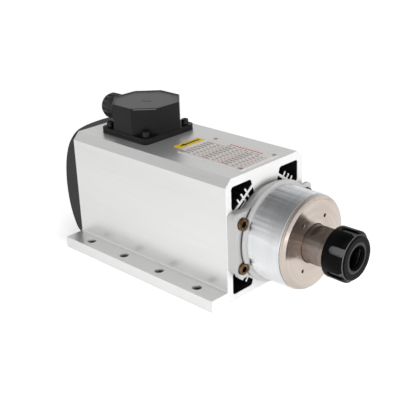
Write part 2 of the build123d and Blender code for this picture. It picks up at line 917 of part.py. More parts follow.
def terminal_studs():
    """Threaded studs, each with its hexagon nut."""
    top = body_height + block_height
    studs = []
    for x, y in stud_places():
        stud = upright(stud_radius, x, y, top - stud_depth, top + stud_height)
        stud += Pos(x, y, top) * extrude(RegularPolygon(stud_nut_radius, 6), stud_nut_height)
        studs.append(stud)
    return studs


def lead_wires():
    """Three leads from the rear winding, up through the port and over to the studs."""
    wires = []
    for step in (-1, 0, 1):
        foot = (port_x, step * lead_spacing, axis_height + winding_outer_radius + free_gap / 3)
        knee = (port_x, step * lead_spacing, body_height + lead_rise)
        reach = (block_x - stud_nut_radius - lead_radius, step * stud_spacing, body_height + lead_rise)
        path = FilletPolyline(foot, knee, reach, radius=lead_bend)
        start = Plane(origin=foot, z_dir=(0, 0, 1))
        wires.append(sweep(start * RegularPolygon(lead_radius, 8), path=path))
    return wires


def earth_screw():
    screw = cap_screw(
        box_screw_radius,
        earth_screw_grip,
        box_screw_head_radius,
        earth_screw_head_height,
        small_socket_flats,
    )
    return Pos(earth_screw_x, earth_screw_y, body_height - earth_screw_grip) * screw


# Cable gland: it leaves the hood towards the rear


def gland_plane(x):
    return Plane(origin=(x, 0, gland_height), x_dir=(0, 1, 0), z_dir=(-1, 0, 0))


def gland_rod(radius, x_from, length):
    return gland_plane(x_from) * Cylinder(radius, length, align=(Align.CENTER, Align.CENTER, Align.MIN))


def gland_hexagon(flats, x_from, length):
    return extrude(gland_plane(x_from) * RegularPolygon(flats / 2, 6, major_radius=False), length)


def gland_body():
    inner_end = gland_wall_x + hood_wall + gland_lock_nut_length + gland_thread_run_out
    thread_length = inner_end - gland_wall_x
    sleeve_end = gland_collar_length + gland_sleeve_length
    body = gland_hexagon(gland_collar_flats, gland_wall_x, gland_collar_length)
    body += gland_rod(gland_thread_radius, inner_end, thread_length)
    body += gland_rod(gland_sleeve_radius, gland_wall_x, sleeve_end)
    return body - gland_rod(gland_bore_radius, inner_end + 1, thread_length + sleeve_end + 2)


def gland_lock_nut():
    inside = gland_wall_x + hood_wall
    nut = gland_hexagon(gland_lock_nut_flats, inside + gland_lock_nut_length, gland_lock_nut_length)
    bore_start = inside + gland_lock_nut_length + 1
    return nut - gland_rod(gland_thread_radius + seat_gap, bore_start, gland_lock_nut_length + 2)


def gland_seal():
    """Rubber ring that the cap squeezes round the cable."""
    start = gland_wall_x - gland_collar_length - gland_sleeve_length - seat_gap
    ring = gland_rod(gland_sleeve_radius, start, seal_length)
    return ring - gland_rod(seal_bore_radius, start + 1, seal_length + 2)


def gland_nut():
    """Domed cap with grip ribs round its skirt."""
    shoulder = cap_end + gland_cap_shoulder
    inner = gland_sleeve_radius + running_gap
    seal_end = gland_wall_x - gland_collar_length - gland_sleeve_length - 2 * seat_gap - seal_length
    cap = turned(
        [
            (cap_start, inner),
            (cap_start, gland_cap_radius),
            (shoulder, gland_cap_radius),
            (shoulder - gland_dome_step, gland_dome_radius),
            (cap_end, gland_cap_mouth + gland_cap_wall / 2),
            (cap_end, gland_cap_mouth),
            (seal_end, gland_cap_mouth),
            (seal_end, inner),
        ],
        gland_height,
    )
    for number in range(gland_ribs):
        length = gland_cap_length - gland_cap_shoulder - gland_rib_margin
        groove = Box(2 * gland_rib_depth, gland_rib_gap, length)
        groove = Pos(gland_cap_radius, 0, length / 2 + gland_rib_margin) * groove
        cap -= gland_plane(cap_start) * Rot(0, 0, number * 360 / gland_ribs) * groove
    return cap


# Plates on top


def rating_plate():
    outline = RectangleRounded(plate_length, plate_width, plate_corner)
    plate = extrude(Plane(origin=(plate_x, 0, body_height)) * outline, plate_thickness)
    for x, y in rivet_places():
        plate -= upright(rivet_radius + seat_gap, x, y, body_height - 1, body_height + 1)
    return plate


def plate_rivets():
    seat = body_height + plate_thickness
    rivets = []
    for x, y in rivet_places():
        rivet = upright(rivet_radius, x, y, body_height - rivet_length, seat)
        rivets.append(rivet + upright(rivet_head_radius, x, y, seat, seat + rivet_head_height))
    return rivets


def rotation_label():
    x = label_x - label_length / 2
    near = label_y - label_width / 2
    top = body_height + label_thickness
    return block(x, x + label_length, near, near + label_width, body_height, top)


# Collet nut


def collet_nut():
    """Round nut with six wrench slots that run out through its front cone."""
    end = nut_start + nut_length
    chamber = nut_start + nut_thread_length
    chamber_end = chamber + nut_chamber_length
    nut = turned(
        [
            (nut_start, nose_radius + running_gap),
            (nut_start, nut_radius - nut_rear_edge),
            (nut_start + nut_rear_edge, nut_radius),
            (end - nut_cone_length, nut_radius),
            (end, nut_face_radius),
            (end, nut_mouth_radius + running_gap),
            (chamber_end, nut_mouth_radius + running_gap),
            (chamber_end, nut_chamber_radius + running_gap),
            (chamber, nut_chamber_radius + running_gap),
            (chamber, nose_radius + running_gap),
        ]
    )
    slot_start = nut_start + nut_slot_rear + nut_slot_width / 2
    for number in range(nut_slots):
        face = Plane(origin=(slot_start, 0, axis_height + nut_radius - nut_slot_depth))
        outline = Circle(nut_slot_width / 2)
        outline += Pos(nut_length / 2, 0) * Rectangle(nut_length, nut_slot_width)
        slot = extrude(face * outline, nut_slot_depth + 2)
        nut -= slot.rotate(Axis((0, 0, axis_height), (1, 0, 0)), number * 360 / nut_slots)
    return nut


def collet_nut_ring():
    """Loose ring in the nut's mouth that bears on a collet's front cone."""
    start = nut_start + nut_thread_length + (nut_chamber_length - ring_flange_thickness) / 2
    step = start + ring_flange_thickness
    end = nut_start + nut_length - ring_setback
    return turned(
        [
            (start, nut_chamber_radius - ring_bevel),
            (start, nut_chamber_radius),
            (step, nut_chamber_radius),
            (step, nut_mouth_radius),
            (end, nut_mouth_radius),
            (end, ring_mouth_radius),
            (step, ring_mouth_radius),
        ]
    )


def build():
    front_middles = [bearing_start + (n + 0.5) * front_bearing_width for n in range(front_bearing_count)]
    rear_middles = [rear_bearing_start + rear_bearing_width / 2]
    front_pitch = (front_bearing_bore + front_bearing_outer) / 2
    rear_pitch = (rear_seat_radius + rear_bearing_outer) / 2
    outer_races, inner_races = all_races()
    pieces = {
        "body_extrusion": body_extrusion(),
        "front_bell": front_bell(),
        "front_bell_screws": bell_screws(),
        "bearing_retainer": bearing_retainer(),
        "bearing_outer_races": outer_races,
        "bearing_inner_races": inner_races,
        "front_balls": ball_set(front_ball_radius, front_pitch, front_ball_count, front_middles),
        "front_cages": cage_set(front_ball_radius, front_pitch, front_ball_count, front_middles),
        "rear_balls": ball_set(rear_ball_radius, rear_pitch, rear_ball_count, rear_middles),
        "rear_cage": cage_set(rear_ball_radius, rear_pitch, rear_ball_count, rear_middles),
        "bearing_lock_nut": bearing_lock_nut(),
        "shaft": shaft(),
        "rotor_core": tube(rotor_seat_radius + seat_gap, rotor_radius, core_start, core_end),
        "rotor_end_rings": rotor_end_rings(),
        "shaft_retaining_ring": retaining_ring(
            rear_seat_radius - ring_depth, rear_bearing_start - ring_thickness, rear_bearing_start
        ),
        "fan_impeller": fan_impeller(),
        "fan_retaining_ring": retaining_ring(fan_seat_radius, fan_end - ring_thickness, fan_end),
        "rear_bell": rear_bell(),
        "rear_bell_screws": rear_bell_screws(),
        "preload_spring": preload_spring(),
        "fan_cover": fan_cover(),
        "fan_cover_screws": fan_cover_screws(),
        "stator_core": stator_core(),
        "stator_windings": stator_windings(),
        "terminal_box_base": terminal_box_base(),
        "box_gasket": box_gasket(),
        "terminal_box_hood": terminal_box_hood(),
        "box_screws": box_screws(),
        "terminal_block": terminal_block(),
        "terminal_studs": terminal_studs(),
        "lead_wires": lead_wires(),
        "earth_screw": earth_screw(),
        "gland_body": gland_body(),
        "gland_lock_nut": gland_lock_nut(),
        "gland_seal": gland_seal(),
        "gland_nut": gland_nut(),
        "rating_plate": rating_plate(),
        "plate_rivets": plate_rivets(),
        "rotation_label": rotation_label(),
        "collet_nut": collet_nut(),
        "collet_nut_ring": collet_nut_ring(),
    }
    os.makedirs("parts", exist_ok=True)
    for name, piece in pieces.items():
        shape = Compound(children=list(piece)) if isinstance(piece, list) else piece
        write(shape, name)


build()
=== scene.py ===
import json
import math

import bmesh
import bpy
from mathutils import Matrix, Vector


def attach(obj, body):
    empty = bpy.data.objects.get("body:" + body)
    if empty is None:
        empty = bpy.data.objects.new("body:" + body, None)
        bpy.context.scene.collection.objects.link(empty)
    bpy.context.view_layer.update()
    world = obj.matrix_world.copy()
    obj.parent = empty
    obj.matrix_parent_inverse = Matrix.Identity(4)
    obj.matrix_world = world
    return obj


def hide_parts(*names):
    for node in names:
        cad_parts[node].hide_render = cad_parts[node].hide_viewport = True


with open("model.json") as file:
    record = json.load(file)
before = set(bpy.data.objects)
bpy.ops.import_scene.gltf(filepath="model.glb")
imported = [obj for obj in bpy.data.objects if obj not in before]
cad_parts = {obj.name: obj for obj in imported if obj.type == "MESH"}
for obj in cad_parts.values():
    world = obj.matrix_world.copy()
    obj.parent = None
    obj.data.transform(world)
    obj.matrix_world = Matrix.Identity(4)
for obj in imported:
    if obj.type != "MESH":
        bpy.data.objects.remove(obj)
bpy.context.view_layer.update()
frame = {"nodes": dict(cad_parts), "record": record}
nodes = frame["nodes"]
axisHeight = 0.0535  # the shaft's height above the foot
mm = 0.001
noiseSpan = (0.3, 0.7)  # most of a noise lies between these


# where the photo was taken from
camera = {
    "place": (0.5049, -0.4829, 0.3438),
    "right": (0.7206, 0.6927, -0.0308),
    "up": (-0.2538, 0.3047, 0.918),
    "back": (0.6453, -0.6537, 0.3954),
    "lens": 72.2,
    "sensor": 36.0,
}


def makeCamera():
    lens = bpy.data.cameras.new("photoCamera")
    lens.lens = camera["lens"]
    lens.sensor_width = camera["sensor"]
    lens.sensor_fit = "HORIZONTAL"
    lens.clip_start = 0.01
    holder = bpy.data.objects.new("photoCamera", lens)
    turn = Matrix([camera["right"], camera["up"], camera["back"]]).transposed()
    place = turn.to_quaternion().normalized().to_matrix().to_4x4()
    place.translation = Vector(camera["place"])
    holder.matrix_world = place
    bpy.context.scene.collection.objects.link(holder)
    bpy.context.scene.camera = holder


makeCamera()
print("camera placed")


# helpers that add steps to a material's node tree

def newMaterial(name):
    material = bpy.data.materials.new(name)
    material.use_nodes = True
    tree = material.node_tree
    tree.nodes.clear()
    output = tree.nodes.new("ShaderNodeOutputMaterial")
    shader = tree.nodes.new("ShaderNodeBsdfPrincipled")
    tree.links.new(shader.outputs["BSDF"], output.inputs["Surface"])
    return material, tree, shader


def feed(tree, socket, value):
    if isinstance(value, bpy.types.NodeSocket):
        tree.links.new(value, socket)
    else:
        socket.default_value = value


def math1(tree, operation, a, b=0.0, clamp=False):
    step = tree.nodes.new("ShaderNodeMath")
    step.operation = operation
    step.use_clamp = clamp
    feed(tree, step.inputs[0], a)
    feed(tree, step.inputs[1], b)
    return step.outputs[0]


def vector1(tree, operation, a, b=(0.0, 0.0, 0.0)):
    step = tree.nodes.new("ShaderNodeVectorMath")
    step.operation = operation
    feed(tree, step.inputs[0], a)
    feed(tree, step.inputs[1], b)
    return step.outputs["Value" if operation in ("LENGTH", "DOT_PRODUCT") else "Vector"]


def objectPoint(tree, scale=(1.0, 1.0, 1.0), move=(0.0, 0.0, 0.0)):
    coordinate = tree.nodes.new("ShaderNodeTexCoord")
    mapping = tree.nodes.new("ShaderNodeMapping")
    mapping.inputs["Scale"].default_value = scale
    mapping.inputs["Location"].default_value = move
    tree.links.new(coordinate.outputs["Object"], mapping.inputs["Vector"])
    return mapping.outputs["Vector"]


def noise(tree, vector, scale, detail=3.0, roughness=0.55, along=None):
    texture = tree.nodes.new("ShaderNodeTexNoise")
    if along is not None:
        texture.noise_dimensions = "4D"
        feed(tree, texture.inputs["W"], along)
    feed(tree, texture.inputs["Vector"], vector)
    texture.inputs["Scale"].default_value = scale
    texture.inputs["Detail"].default_value = detail
    texture.inputs["Roughness"].default_value = roughness
    return texture.outputs["Fac"]


def spread(tree, value, low, high, fromLow=0.0, fromHigh=1.0):
    step = tree.nodes.new("ShaderNodeMapRange")
    feed(tree, step.inputs["Value"], value)
    step.inputs["From Min"].default_value = fromLow
    step.inputs["From Max"].default_value = fromHigh
    step.inputs["To Min"].default_value = low
    step.inputs["To Max"].default_value = high
    return step.outputs["Result"]


def blendColor(tree, share, first, second):
    step = tree.nodes.new("ShaderNodeMix")
    step.data_type = "RGBA"
    feed(tree, step.inputs["Factor"], share)
    feed(tree, step.inputs["A"], first if isinstance(first, bpy.types.NodeSocket) else (*first, 1.0))
    feed(tree, step.inputs["B"], second if isinstance(second, bpy.types.NodeSocket) else (*second, 1.0))
    return step.outputs["Result"]


def bump(tree, height, distance, strength=1.0, before=None):
    step = tree.nodes.new("ShaderNodeBump")
    step.inputs["Strength"].default_value = strength
    step.inputs["Distance"].default_value = distance
    feed(tree, step.inputs["Height"], height)
    if before is not None:
        tree.links.new(before, step.inputs["Normal"])
    return step.outputs["Normal"]


def edgeShare(tree, radius, low=0.02, high=0.25):
    # 1 along outer and inner edges, 0 on open surface
    rounded = tree.nodes.new("ShaderNodeBevel")
    rounded.samples = 6
    rounded.inputs["Radius"].default_value = radius
    plain = tree.nodes.new("ShaderNodeNewGeometry")
    agree = vector1(tree, "DOT_PRODUCT", rounded.outputs["Normal"], plain.outputs["Normal"])
    return spread(tree, math1(tree, "SUBTRACT", 1.0, agree), 0.0, 1.0, low, high)


def paintedShadePart(tree, shader, distance, depth):
    # painted shade: holes and inner corners get little light, so ambient occlusion darkens their colour
    occlusion = tree.nodes.new("ShaderNodeAmbientOcclusion")
    occlusion.samples = 8
    occlusion.inputs["Distance"].default_value = distance
    closed = spread(tree, occlusion.outputs["AO"], 1.0, 0.0, 0.15, 0.5)
    share = math1(tree, "MULTIPLY", closed, depth, clamp=True)
    before = shader.inputs["Base Color"].links[0].from_socket
    tree.links.new(blendColor(tree, share, before, (0.02, 0.02, 0.02)), shader.inputs["Base Color"])


def axisPoint(tree):
    # object point in millimetres from the middle of the shaft's axis
    return objectPoint(tree, (1 / mm, 1 / mm, 1 / mm), (0.0, 0.0, -axisHeight / mm))


def insideBox(tree, low, high):
    # 1 between two corners, 0 elsewhere
    point = axisPoint(tree)
    middle = [(a + b) / 2 for a, b in zip(low, high)]
    away = vector1(tree, "ABSOLUTE", vector1(tree, "SUBTRACT", point, middle))
    split = tree.nodes.new("ShaderNodeSeparateXYZ")
    tree.links.new(away, split.inputs[0])
    shares = [math1(tree, "LESS_THAN", split.outputs[i], (high[i] - low[i]) / 2) for i in range(3)]
    return math1(tree, "MULTIPLY", math1(tree, "MULTIPLY", shares[0], shares[1]), shares[2])


def insideTube(tree, start, end, inner, outer):
    # 1 in a sleeve round the shaft's axis, 0 elsewhere
    point = axisPoint(tree)
    reach = vector1(tree, "LENGTH", vector1(tree, "MULTIPLY", point, (0.0, 1.0, 1.0)))
    split = tree.nodes.new("ShaderNodeSeparateXYZ")
    tree.links.new(point, split.inputs[0])
    offRing = math1(tree, "ABSOLUTE", math1(tree, "SUBTRACT", reach, (inner + outer) / 2))
    offMiddle = math1(tree, "ABSOLUTE", math1(tree, "SUBTRACT", split.outputs["X"], (start + end) / 2))
    inRing = math1(tree, "LESS_THAN", offRing, (outer - inner) / 2)
    return math1(tree, "MULTIPLY", inRing, math1(tree, "LESS_THAN", offMiddle, (end - start) / 2))


def tintPart(tree, shader, share, color, rough=None, metallic=None):
    # another colour, roughness and metallic level where share is 1
    before = shader.inputs["Base Color"].links[0].from_socket
    tree.links.new(blendColor(tree, share, before, color), shader.inputs["Base Color"])
    if rough is not None:
        level = shader.inputs["Roughness"].links[0].from_socket
        step = tree.nodes.new("ShaderNodeMix")
        feed(tree, step.inputs["Factor"], share)
        feed(tree, step.inputs["A"], level)
        step.inputs["B"].default_value = rough
        tree.links.new(step.outputs["Result"], shader.inputs["Roughness"])
    if metallic is not None:
        level = spread(tree, share, shader.inputs["Metallic"].default_value, metallic)
        tree.links.new(level, shader.inputs["Metallic"])


def brushedAluminium(name, look):
    material, tree, shader = newMaterial(name)
    grain = noise(tree, objectPoint(tree, look["grain"]), 1.0, 4.0, 0.6)
    broad = noise(tree, objectPoint(tree, look["broad"]), 1.0, 2.0)
    specks = noise(tree, objectPoint(tree), look["speckScale"], 2.0)
    tone = math1(tree, "ADD", spread(tree, grain, -0.5, 0.5, *noiseSpan),
                 spread(tree, broad, -0.3, 0.3, *noiseSpan))
    share = math1(tree, "ADD", tone, 0.5, clamp=True)
    tree.links.new(blendColor(tree, share, look["dark"], look["light"]), shader.inputs["Base Color"])
    shader.inputs["Metallic"].default_value = look["metallic"]
    rough = math1(tree, "ADD", spread(tree, grain, look["rough"] - 0.05, look["rough"] + 0.05, *noiseSpan),
                  spread(tree, specks, -0.02, 0.02))
    tree.links.new(rough, shader.inputs["Roughness"])
    lines = bump(tree, grain, look["lineDepth"], 0.6)
    tree.links.new(bump(tree, specks, look["lineDepth"] * 0.5, 0.4, lines), shader.inputs["Normal"])
    return material


def turnedMetal(name, look):
    # lathe lines run round the shaft's axis
    material, tree, shader = newMaterial(name)
    point = objectPoint(tree)
    fromAxis = vector1(tree, "SUBTRACT", point, (0.0, 0.0, axisHeight))
    arm = vector1(tree, "MULTIPLY", fromAxis, (0.0, 1.0, 1.0))
    reach = vector1(tree, "LENGTH", arm)
    unit = vector1(tree, "NORMALIZE", arm)
    split = tree.nodes.new("ShaderNodeSeparateXYZ")
    tree.links.new(point, split.inputs[0])
    travel = math1(tree, "MULTIPLY", math1(tree, "ADD", split.outputs["X"], reach), look["linesPerMetre"])
    lines = noise(tree, unit, 1.2, 3.0, 0.6, travel)
    bands = noise(tree, unit, 0.6, 1.0, 0.5, math1(tree, "MULTIPLY", travel, 0.08))
    patches = noise(tree, objectPoint(tree), look["patchScale"], 3.0)
    tone = math1(tree, "ADD", spread(tree, lines, -0.45, 0.45, *noiseSpan),
                 spread(tree, bands, -0.35, 0.35, *noiseSpan))
    tone = math1(tree, "ADD", tone, spread(tree, patches, -0.2, 0.2, *noiseSpan))
    share = math1(tree, "ADD", tone, 0.5, clamp=True)
    tree.links.new(blendColor(tree, share, look["dark"], look["light"]), shader.inputs["Base Color"])
    shader.inputs["Metallic"].default_value = look["metallic"]
    rough = spread(tree, lines, look["rough"] - 0.04, look["rough"] + 0.06, *noiseSpan)
    tree.links.new(rough, shader.inputs["Roughness"])
    shader.inputs["Anisotropic"].default_value = look["anisotropic"]
    surface = tree.nodes.new("ShaderNodeNewGeometry")
    around = vector1(tree, "CROSS_PRODUCT", unit, (1.0, 0.0, 0.0))
    across = vector1(tree, "CROSS_PRODUCT", around, surface.outputs["Normal"])
    tree.links.new(across, shader.inputs["Tangent"])
    tree.links.new(bump(tree, lines, look["lineDepth"], 0.5), shader.inputs["Normal"])
    return material


def wornMetal(name, look):
    # an even finish that has gone lighter along its edges
    material, tree, shader = newMaterial(name)
    clouds = noise(tree, objectPoint(tree), look["cloudScale"], 4.0, 0.6)
    fine = noise(tree, objectPoint(tree), look["fineScale"], 2.0)
    ground = blendColor(tree, spread(tree, clouds, 0.0, 1.0, *noiseSpan), look["dark"], look["light"])
    wear = math1(tree, "MULTIPLY", edgeShare(tree, look["edgeRadius"]),
                 spread(tree, clouds, 0.2, 1.0, 0.35, 0.6))
    color = blendColor(tree, math1(tree, "MULTIPLY", wear, look["wear"]), ground, look["bare"])
    tree.links.new(color, shader.inputs["Base Color"])
    shader.inputs["Metallic"].default_value = look["metallic"]
    rough = math1(tree, "ADD", spread(tree, clouds, look["rough"] - 0.06, look["rough"] + 0.06, *noiseSpan),
                  spread(tree, fine, -0.04, 0.04))
    tree.links.new(rough, shader.inputs["Roughness"])
    shader.inputs["Specular IOR Level"].default_value = look.get("specular", 0.5)
    tree.links.new(bump(tree, fine, look["fineDepth"], 0.5), shader.inputs["Normal"])
    return material


def mouldedPlastic(name, look):
    material, tree, shader = newMaterial(name)
    grain = noise(tree, objectPoint(tree), look["grainScale"], 2.0, 0.6)
    clouds = noise(tree, objectPoint(tree), look["cloudScale"], 3.0)
    ground = blendColor(tree, spread(tree, clouds, 0.0, 1.0, *noiseSpan), look["dark"], look["light"])
    rubbed = math1(tree, "MULTIPLY", edgeShare(tree, look["edgeRadius"]), look["rub"])
    tree.links.new(blendColor(tree, rubbed, ground, look["rubbed"]), shader.inputs["Base Color"])
    shader.inputs["Metallic"].default_value = 0.0
    shader.inputs["Specular IOR Level"].default_value = look["specular"]
    rough = math1(tree, "ADD", spread(tree, clouds, look["rough"] - 0.05, look["rough"] + 0.05, *noiseSpan),
                  spread(tree, grain, -0.05, 0.05))
    tree.links.new(rough, shader.inputs["Roughness"])
    tree.links.new(bump(tree, grain, look["grainDepth"], 0.6), shader.inputs["Normal"])
    return material


def printedFilm(name, look):
    # thin film with a clear coat, a little uneven where it is stuck down
    material, tree, shader = newMaterial(name)
    sheet = noise(tree, objectPoint(tree), look["waveScale"], 2.0)
    dots = noise(tree, objectPoint(tree), look["dotScale"], 1.0)
    color = blendColor(tree, spread(tree, dots, 0.0, 1.0, 0.35, 0.65), look["dark"], look["light"])
    tree.links.new(color, shader.inputs["Base Color"])
    shader.inputs["Metallic"].default_value = look["metallic"]
    rough = spread(tree, dots, look["rough"] - 0.05, look["rough"] + 0.05)
    tree.links.new(rough, shader.inputs["Roughness"])
    shader.inputs["Coat Weight"].default_value = look["coat"]
    shader.inputs["Coat Roughness"].default_value = 0.15
    tree.links.new(bump(tree, sheet, look["waveDepth"], 0.5), shader.inputs["Normal"])
    return material


print("building materials")

finish = {}
finish["body"] = brushedAluminium("satinBodyAluminium", {
    "light": (0.89, 0.888, 0.882), "dark": (0.83, 0.828, 0.822), "metallic": 0.75, "rough": 0.34,
    "grain": (10.0, 2600.0, 2600.0), "broad": (4.0, 30.0, 30.0), "speckScale": 1200.0, "lineDepth": 0.00002,
})
finish["bell"] = turnedMetal("turnedBellAluminium", {
    "light": (0.86, 0.87, 0.885), "dark": (0.75, 0.76, 0.78), "metallic": 1.0,
    "rough": 0.2, "anisotropic": 0.6,
    "linesPerMetre": 3200.0, "lineDepth": 0.000006, "patchScale": 22.0,
})
finish["disc"] = turnedMetal("polishedDiscSteel", {
    "light": (0.78, 0.69, 0.62), "dark": (0.62, 0.535, 0.475), "metallic": 1.0,
    "rough": 0.2, "anisotropic": 0.9,
    "linesPerMetre": 3200.0, "lineDepth": 0.00001, "patchScale": 30.0,
})
finish["shaft"] = turnedMetal("groundShaftSteel", {
    "light": (0.38, 0.32, 0.285), "dark": (0.20, 0.165, 0.145), "metallic": 1.0,
    "rough": 0.2, "anisotropic": 0.6,
    "linesPerMetre": 3600.0, "lineDepth": 0.00001, "patchScale": 45.0,
})
finish["race"] = turnedMetal("groundRaceSteel", {
    "light": (0.80, 0.80, 0.82), "dark": (0.66, 0.66, 0.68), "metallic": 1.0,
    "rough": 0.14, "anisotropic": 0.3,
    "linesPerMetre": 5000.0, "lineDepth": 0.000005, "patchScale": 60.0,
})
finish["nut"] = wornMetal("blackOxideNut", {
    "light": (0.003, 0.003, 0.0033), "dark": (0.0015, 0.0015, 0.0017), "bare": (0.04, 0.04, 0.043),
    "wear": 0.3,
    "metallic": 0.0, "specular": 0.07, "rough": 0.34, "edgeRadius": 0.0005,
    "cloudScale": 60.0, "fineScale": 1500.0, "fineDepth": 0.00002,
})
finish["ring"] = wornMetal("darkRingSteel", {
    "light": (0.06, 0.055, 0.055), "dark": (0.03, 0.028, 0.028), "bare": (0.3, 0.3, 0.3), "wear": 0.4,
    "metallic": 0.8, "rough": 0.3, "edgeRadius": 0.0004, "cloudScale": 90.0, "fineScale": 1500.0,
    "fineDepth": 0.00001,
})
finish["bronzeScrew"] = wornMetal("yellowChromateScrew", {
    "light": (0.30, 0.185, 0.09), "dark": (0.09, 0.055, 0.028), "bare": (0.85, 0.70, 0.50), "wear": 0.9,
    "metallic": 1.0, "rough": 0.22, "edgeRadius": 0.0004, "cloudScale": 260.0, "fineScale": 2500.0,
    "fineDepth": 0.00001,
})
finish["blackScrew"] = wornMetal("blackOxideScrew", {
    "light": (0.035, 0.035, 0.038), "dark": (0.014, 0.014, 0.015), "bare": (0.2, 0.2, 0.2), "wear": 0.35,
    "metallic": 0.6, "rough": 0.36, "edgeRadius": 0.0003, "cloudScale": 200.0, "fineScale": 2500.0,
    "fineDepth": 0.00001,
})
finish["spring"] = wornMetal("temperedSpringSteel", {
    "light": (0.30, 0.29, 0.31), "dark": (0.18, 0.17, 0.20), "bare": (0.5, 0.5, 0.5), "wear": 0.4,
    "metallic": 1.0, "rough": 0.28, "edgeRadius": 0.0003, "cloudScale": 120.0, "fineScale": 2000.0,
    "fineDepth": 0.00001,
})
finish["core"] = wornMetal("stackedCoreSheet", {
    "light": (0.36, 0.37, 0.39), "dark": (0.24, 0.25, 0.27), "bare": (0.5, 0.5, 0.5), "wear": 0.4,
    "metallic": 0.9, "rough": 0.42, "edgeRadius": 0.0005, "cloudScale": 70.0, "fineScale": 2000.0,
    "fineDepth": 0.00002,
})
finish["castAluminium"] = wornMetal("castRingAluminium", {
    "light": (0.66, 0.67, 0.69), "dark": (0.50, 0.51, 0.53), "bare": (0.8, 0.8, 0.8), "wear": 0.5,
    "metallic": 1.0, "rough": 0.45, "edgeRadius": 0.0005, "cloudScale": 120.0, "fineScale": 1200.0,
    "fineDepth": 0.00004,
})
finish["brass"] = wornMetal("machinedBrass", {
    "light": (0.72, 0.54, 0.26), "dark": (0.55, 0.38, 0.16), "bare": (0.85, 0.7, 0.4), "wear": 0.5,
    "metallic": 1.0, "rough": 0.25, "edgeRadius": 0.0003, "cloudScale": 200.0, "fineScale": 2500.0,
    "fineDepth": 0.00001,
})
finish["copper"] = wornMetal("varnishedCopper", {
    "light": (0.55, 0.22, 0.09), "dark": (0.32, 0.11, 0.04), "bare": (0.7, 0.35, 0.2), "wear": 0.3,
    "metallic": 0.6, "rough": 0.34, "edgeRadius": 0.0004, "cloudScale": 160.0, "fineScale": 900.0,
    "fineDepth": 0.00006,
})
finish["cover"] = mouldedPlastic("fineGrainCover", {
    "light": (0.016, 0.0163, 0.0172), "dark": (0.011, 0.0113, 0.0122), "rubbed": (0.055, 0.056, 0.06),
    "rub": 0.5,
    "rough": 0.5, "specular": 0.4, "edgeRadius": 0.0006, "grainScale": 1800.0, "cloudScale": 40.0,
    "grainDepth": 0.00006,
})
finish["hood"] = mouldedPlastic("satinHoodPlastic", {
    "light": (0.0045, 0.0046, 0.0050), "dark": (0.0025, 0.0026, 0.003), "rubbed": (0.03, 0.03, 0.033),
    "rub": 0.5,
    "rough": 0.36, "specular": 0.25, "edgeRadius": 0.0006, "grainScale": 1500.0, "cloudScale": 45.0,
    "grainDepth": 0.00003,
})
finish["gland"] = mouldedPlastic("ribbedGlandPlastic", {
    "light": (0.017, 0.017, 0.018), "dark": (0.011, 0.011, 0.012), "rubbed": (0.045, 0.045, 0.048),
    "rub": 0.5,
    "rough": 0.45, "specular": 0.4, "edgeRadius": 0.0005, "grainScale": 1500.0, "cloudScale": 60.0,
    "grainDepth": 0.00003,
})
finish["rubber"] = mouldedPlastic("sealRubber", {
    "light": (0.022, 0.022, 0.022), "dark": (0.015, 0.015, 0.015), "rubbed": (0.04, 0.04, 0.04), "rub": 0.4,
    "rough": 0.7, "specular": 0.3, "edgeRadius": 0.0004, "grainScale": 1100.0, "cloudScale": 80.0,
    "grainDepth": 0.00004,
})
finish["fan"] = mouldedPlastic("fanPlastic", {
    "light": (0.075, 0.076, 0.080), "dark": (0.055, 0.056, 0.060), "rubbed": (0.11, 0.11, 0.115), "rub": 0.4,
    "rough": 0.5, "specular": 0.4, "edgeRadius": 0.0005, "grainScale": 1200.0, "cloudScale": 50.0,
    "grainDepth": 0.00004,
})
finish["terminalBlock"] = mouldedPlastic("paleBlockPlastic", {
    "light": (0.72, 0.66, 0.52), "dark": (0.62, 0.56, 0.42), "rubbed": (0.8, 0.76, 0.66), "rub": 0.4,
    "rough": 0.45, "specular": 0.4, "edgeRadius": 0.0004, "grainScale": 1200.0, "cloudScale": 70.0,
    "grainDepth": 0.00003,
})
finish["cage"] = mouldedPlastic("cagePlastic", {
    "light": (0.62, 0.54, 0.34), "dark": (0.50, 0.42, 0.25), "rubbed": (0.7, 0.62, 0.45), "rub": 0.4,
    "rough": 0.45, "specular": 0.4, "edgeRadius": 0.0003, "grainScale": 1500.0, "cloudScale": 90.0,
    "grainDepth": 0.00002,
})
finish["lead"] = mouldedPlastic("leadInsulation", {
    "light": (0.42, 0.03, 0.02), "dark": (0.30, 0.02, 0.015), "rubbed": (0.5, 0.1, 0.08), "rub": 0.3,
    "rough": 0.35, "specular": 0.5, "edgeRadius": 0.0003, "grainScale": 900.0, "cloudScale": 120.0,
    "grainDepth": 0.00002,
})
finish["plate"] = printedFilm("printedPlateFoil", {
    "light": (0.93, 0.885, 0.86), "dark": (0.84, 0.795, 0.77), "metallic": 0.3, "rough": 0.36, "coat": 0.1,
    "waveScale": 60.0, "waveDepth": 0.0001, "dotScale": 1300.0,
})
finish["label"] = printedFilm("yellowLabelFilm", {
    "light": (0.95, 0.66, 0.008), "dark": (0.90, 0.60, 0.006), "metallic": 0.0, "rough": 0.5, "coat": 0.0,
    "waveScale": 90.0, "waveDepth": 0.00008, "dotScale": 1500.0,
})
finish["ink"] = printedFilm("blackLabelInk", {
    "light": (0.008, 0.008, 0.008), "dark": (0.005, 0.005, 0.005), "metallic": 0.0,
    "rough": 0.5, "coat": 0.0,
    "waveScale": 90.0, "waveDepth": 0.00005, "dotScale": 1500.0,
})
finish["rule"] = printedFilm("greyPlateInk", {
    "light": (0.12, 0.095, 0.085), "dark": (0.07, 0.055, 0.048), "metallic": 0.0, "rough": 0.5, "coat": 0.0,
    "waveScale": 90.0, "waveDepth": 0.00005, "dotScale": 1600.0,
})
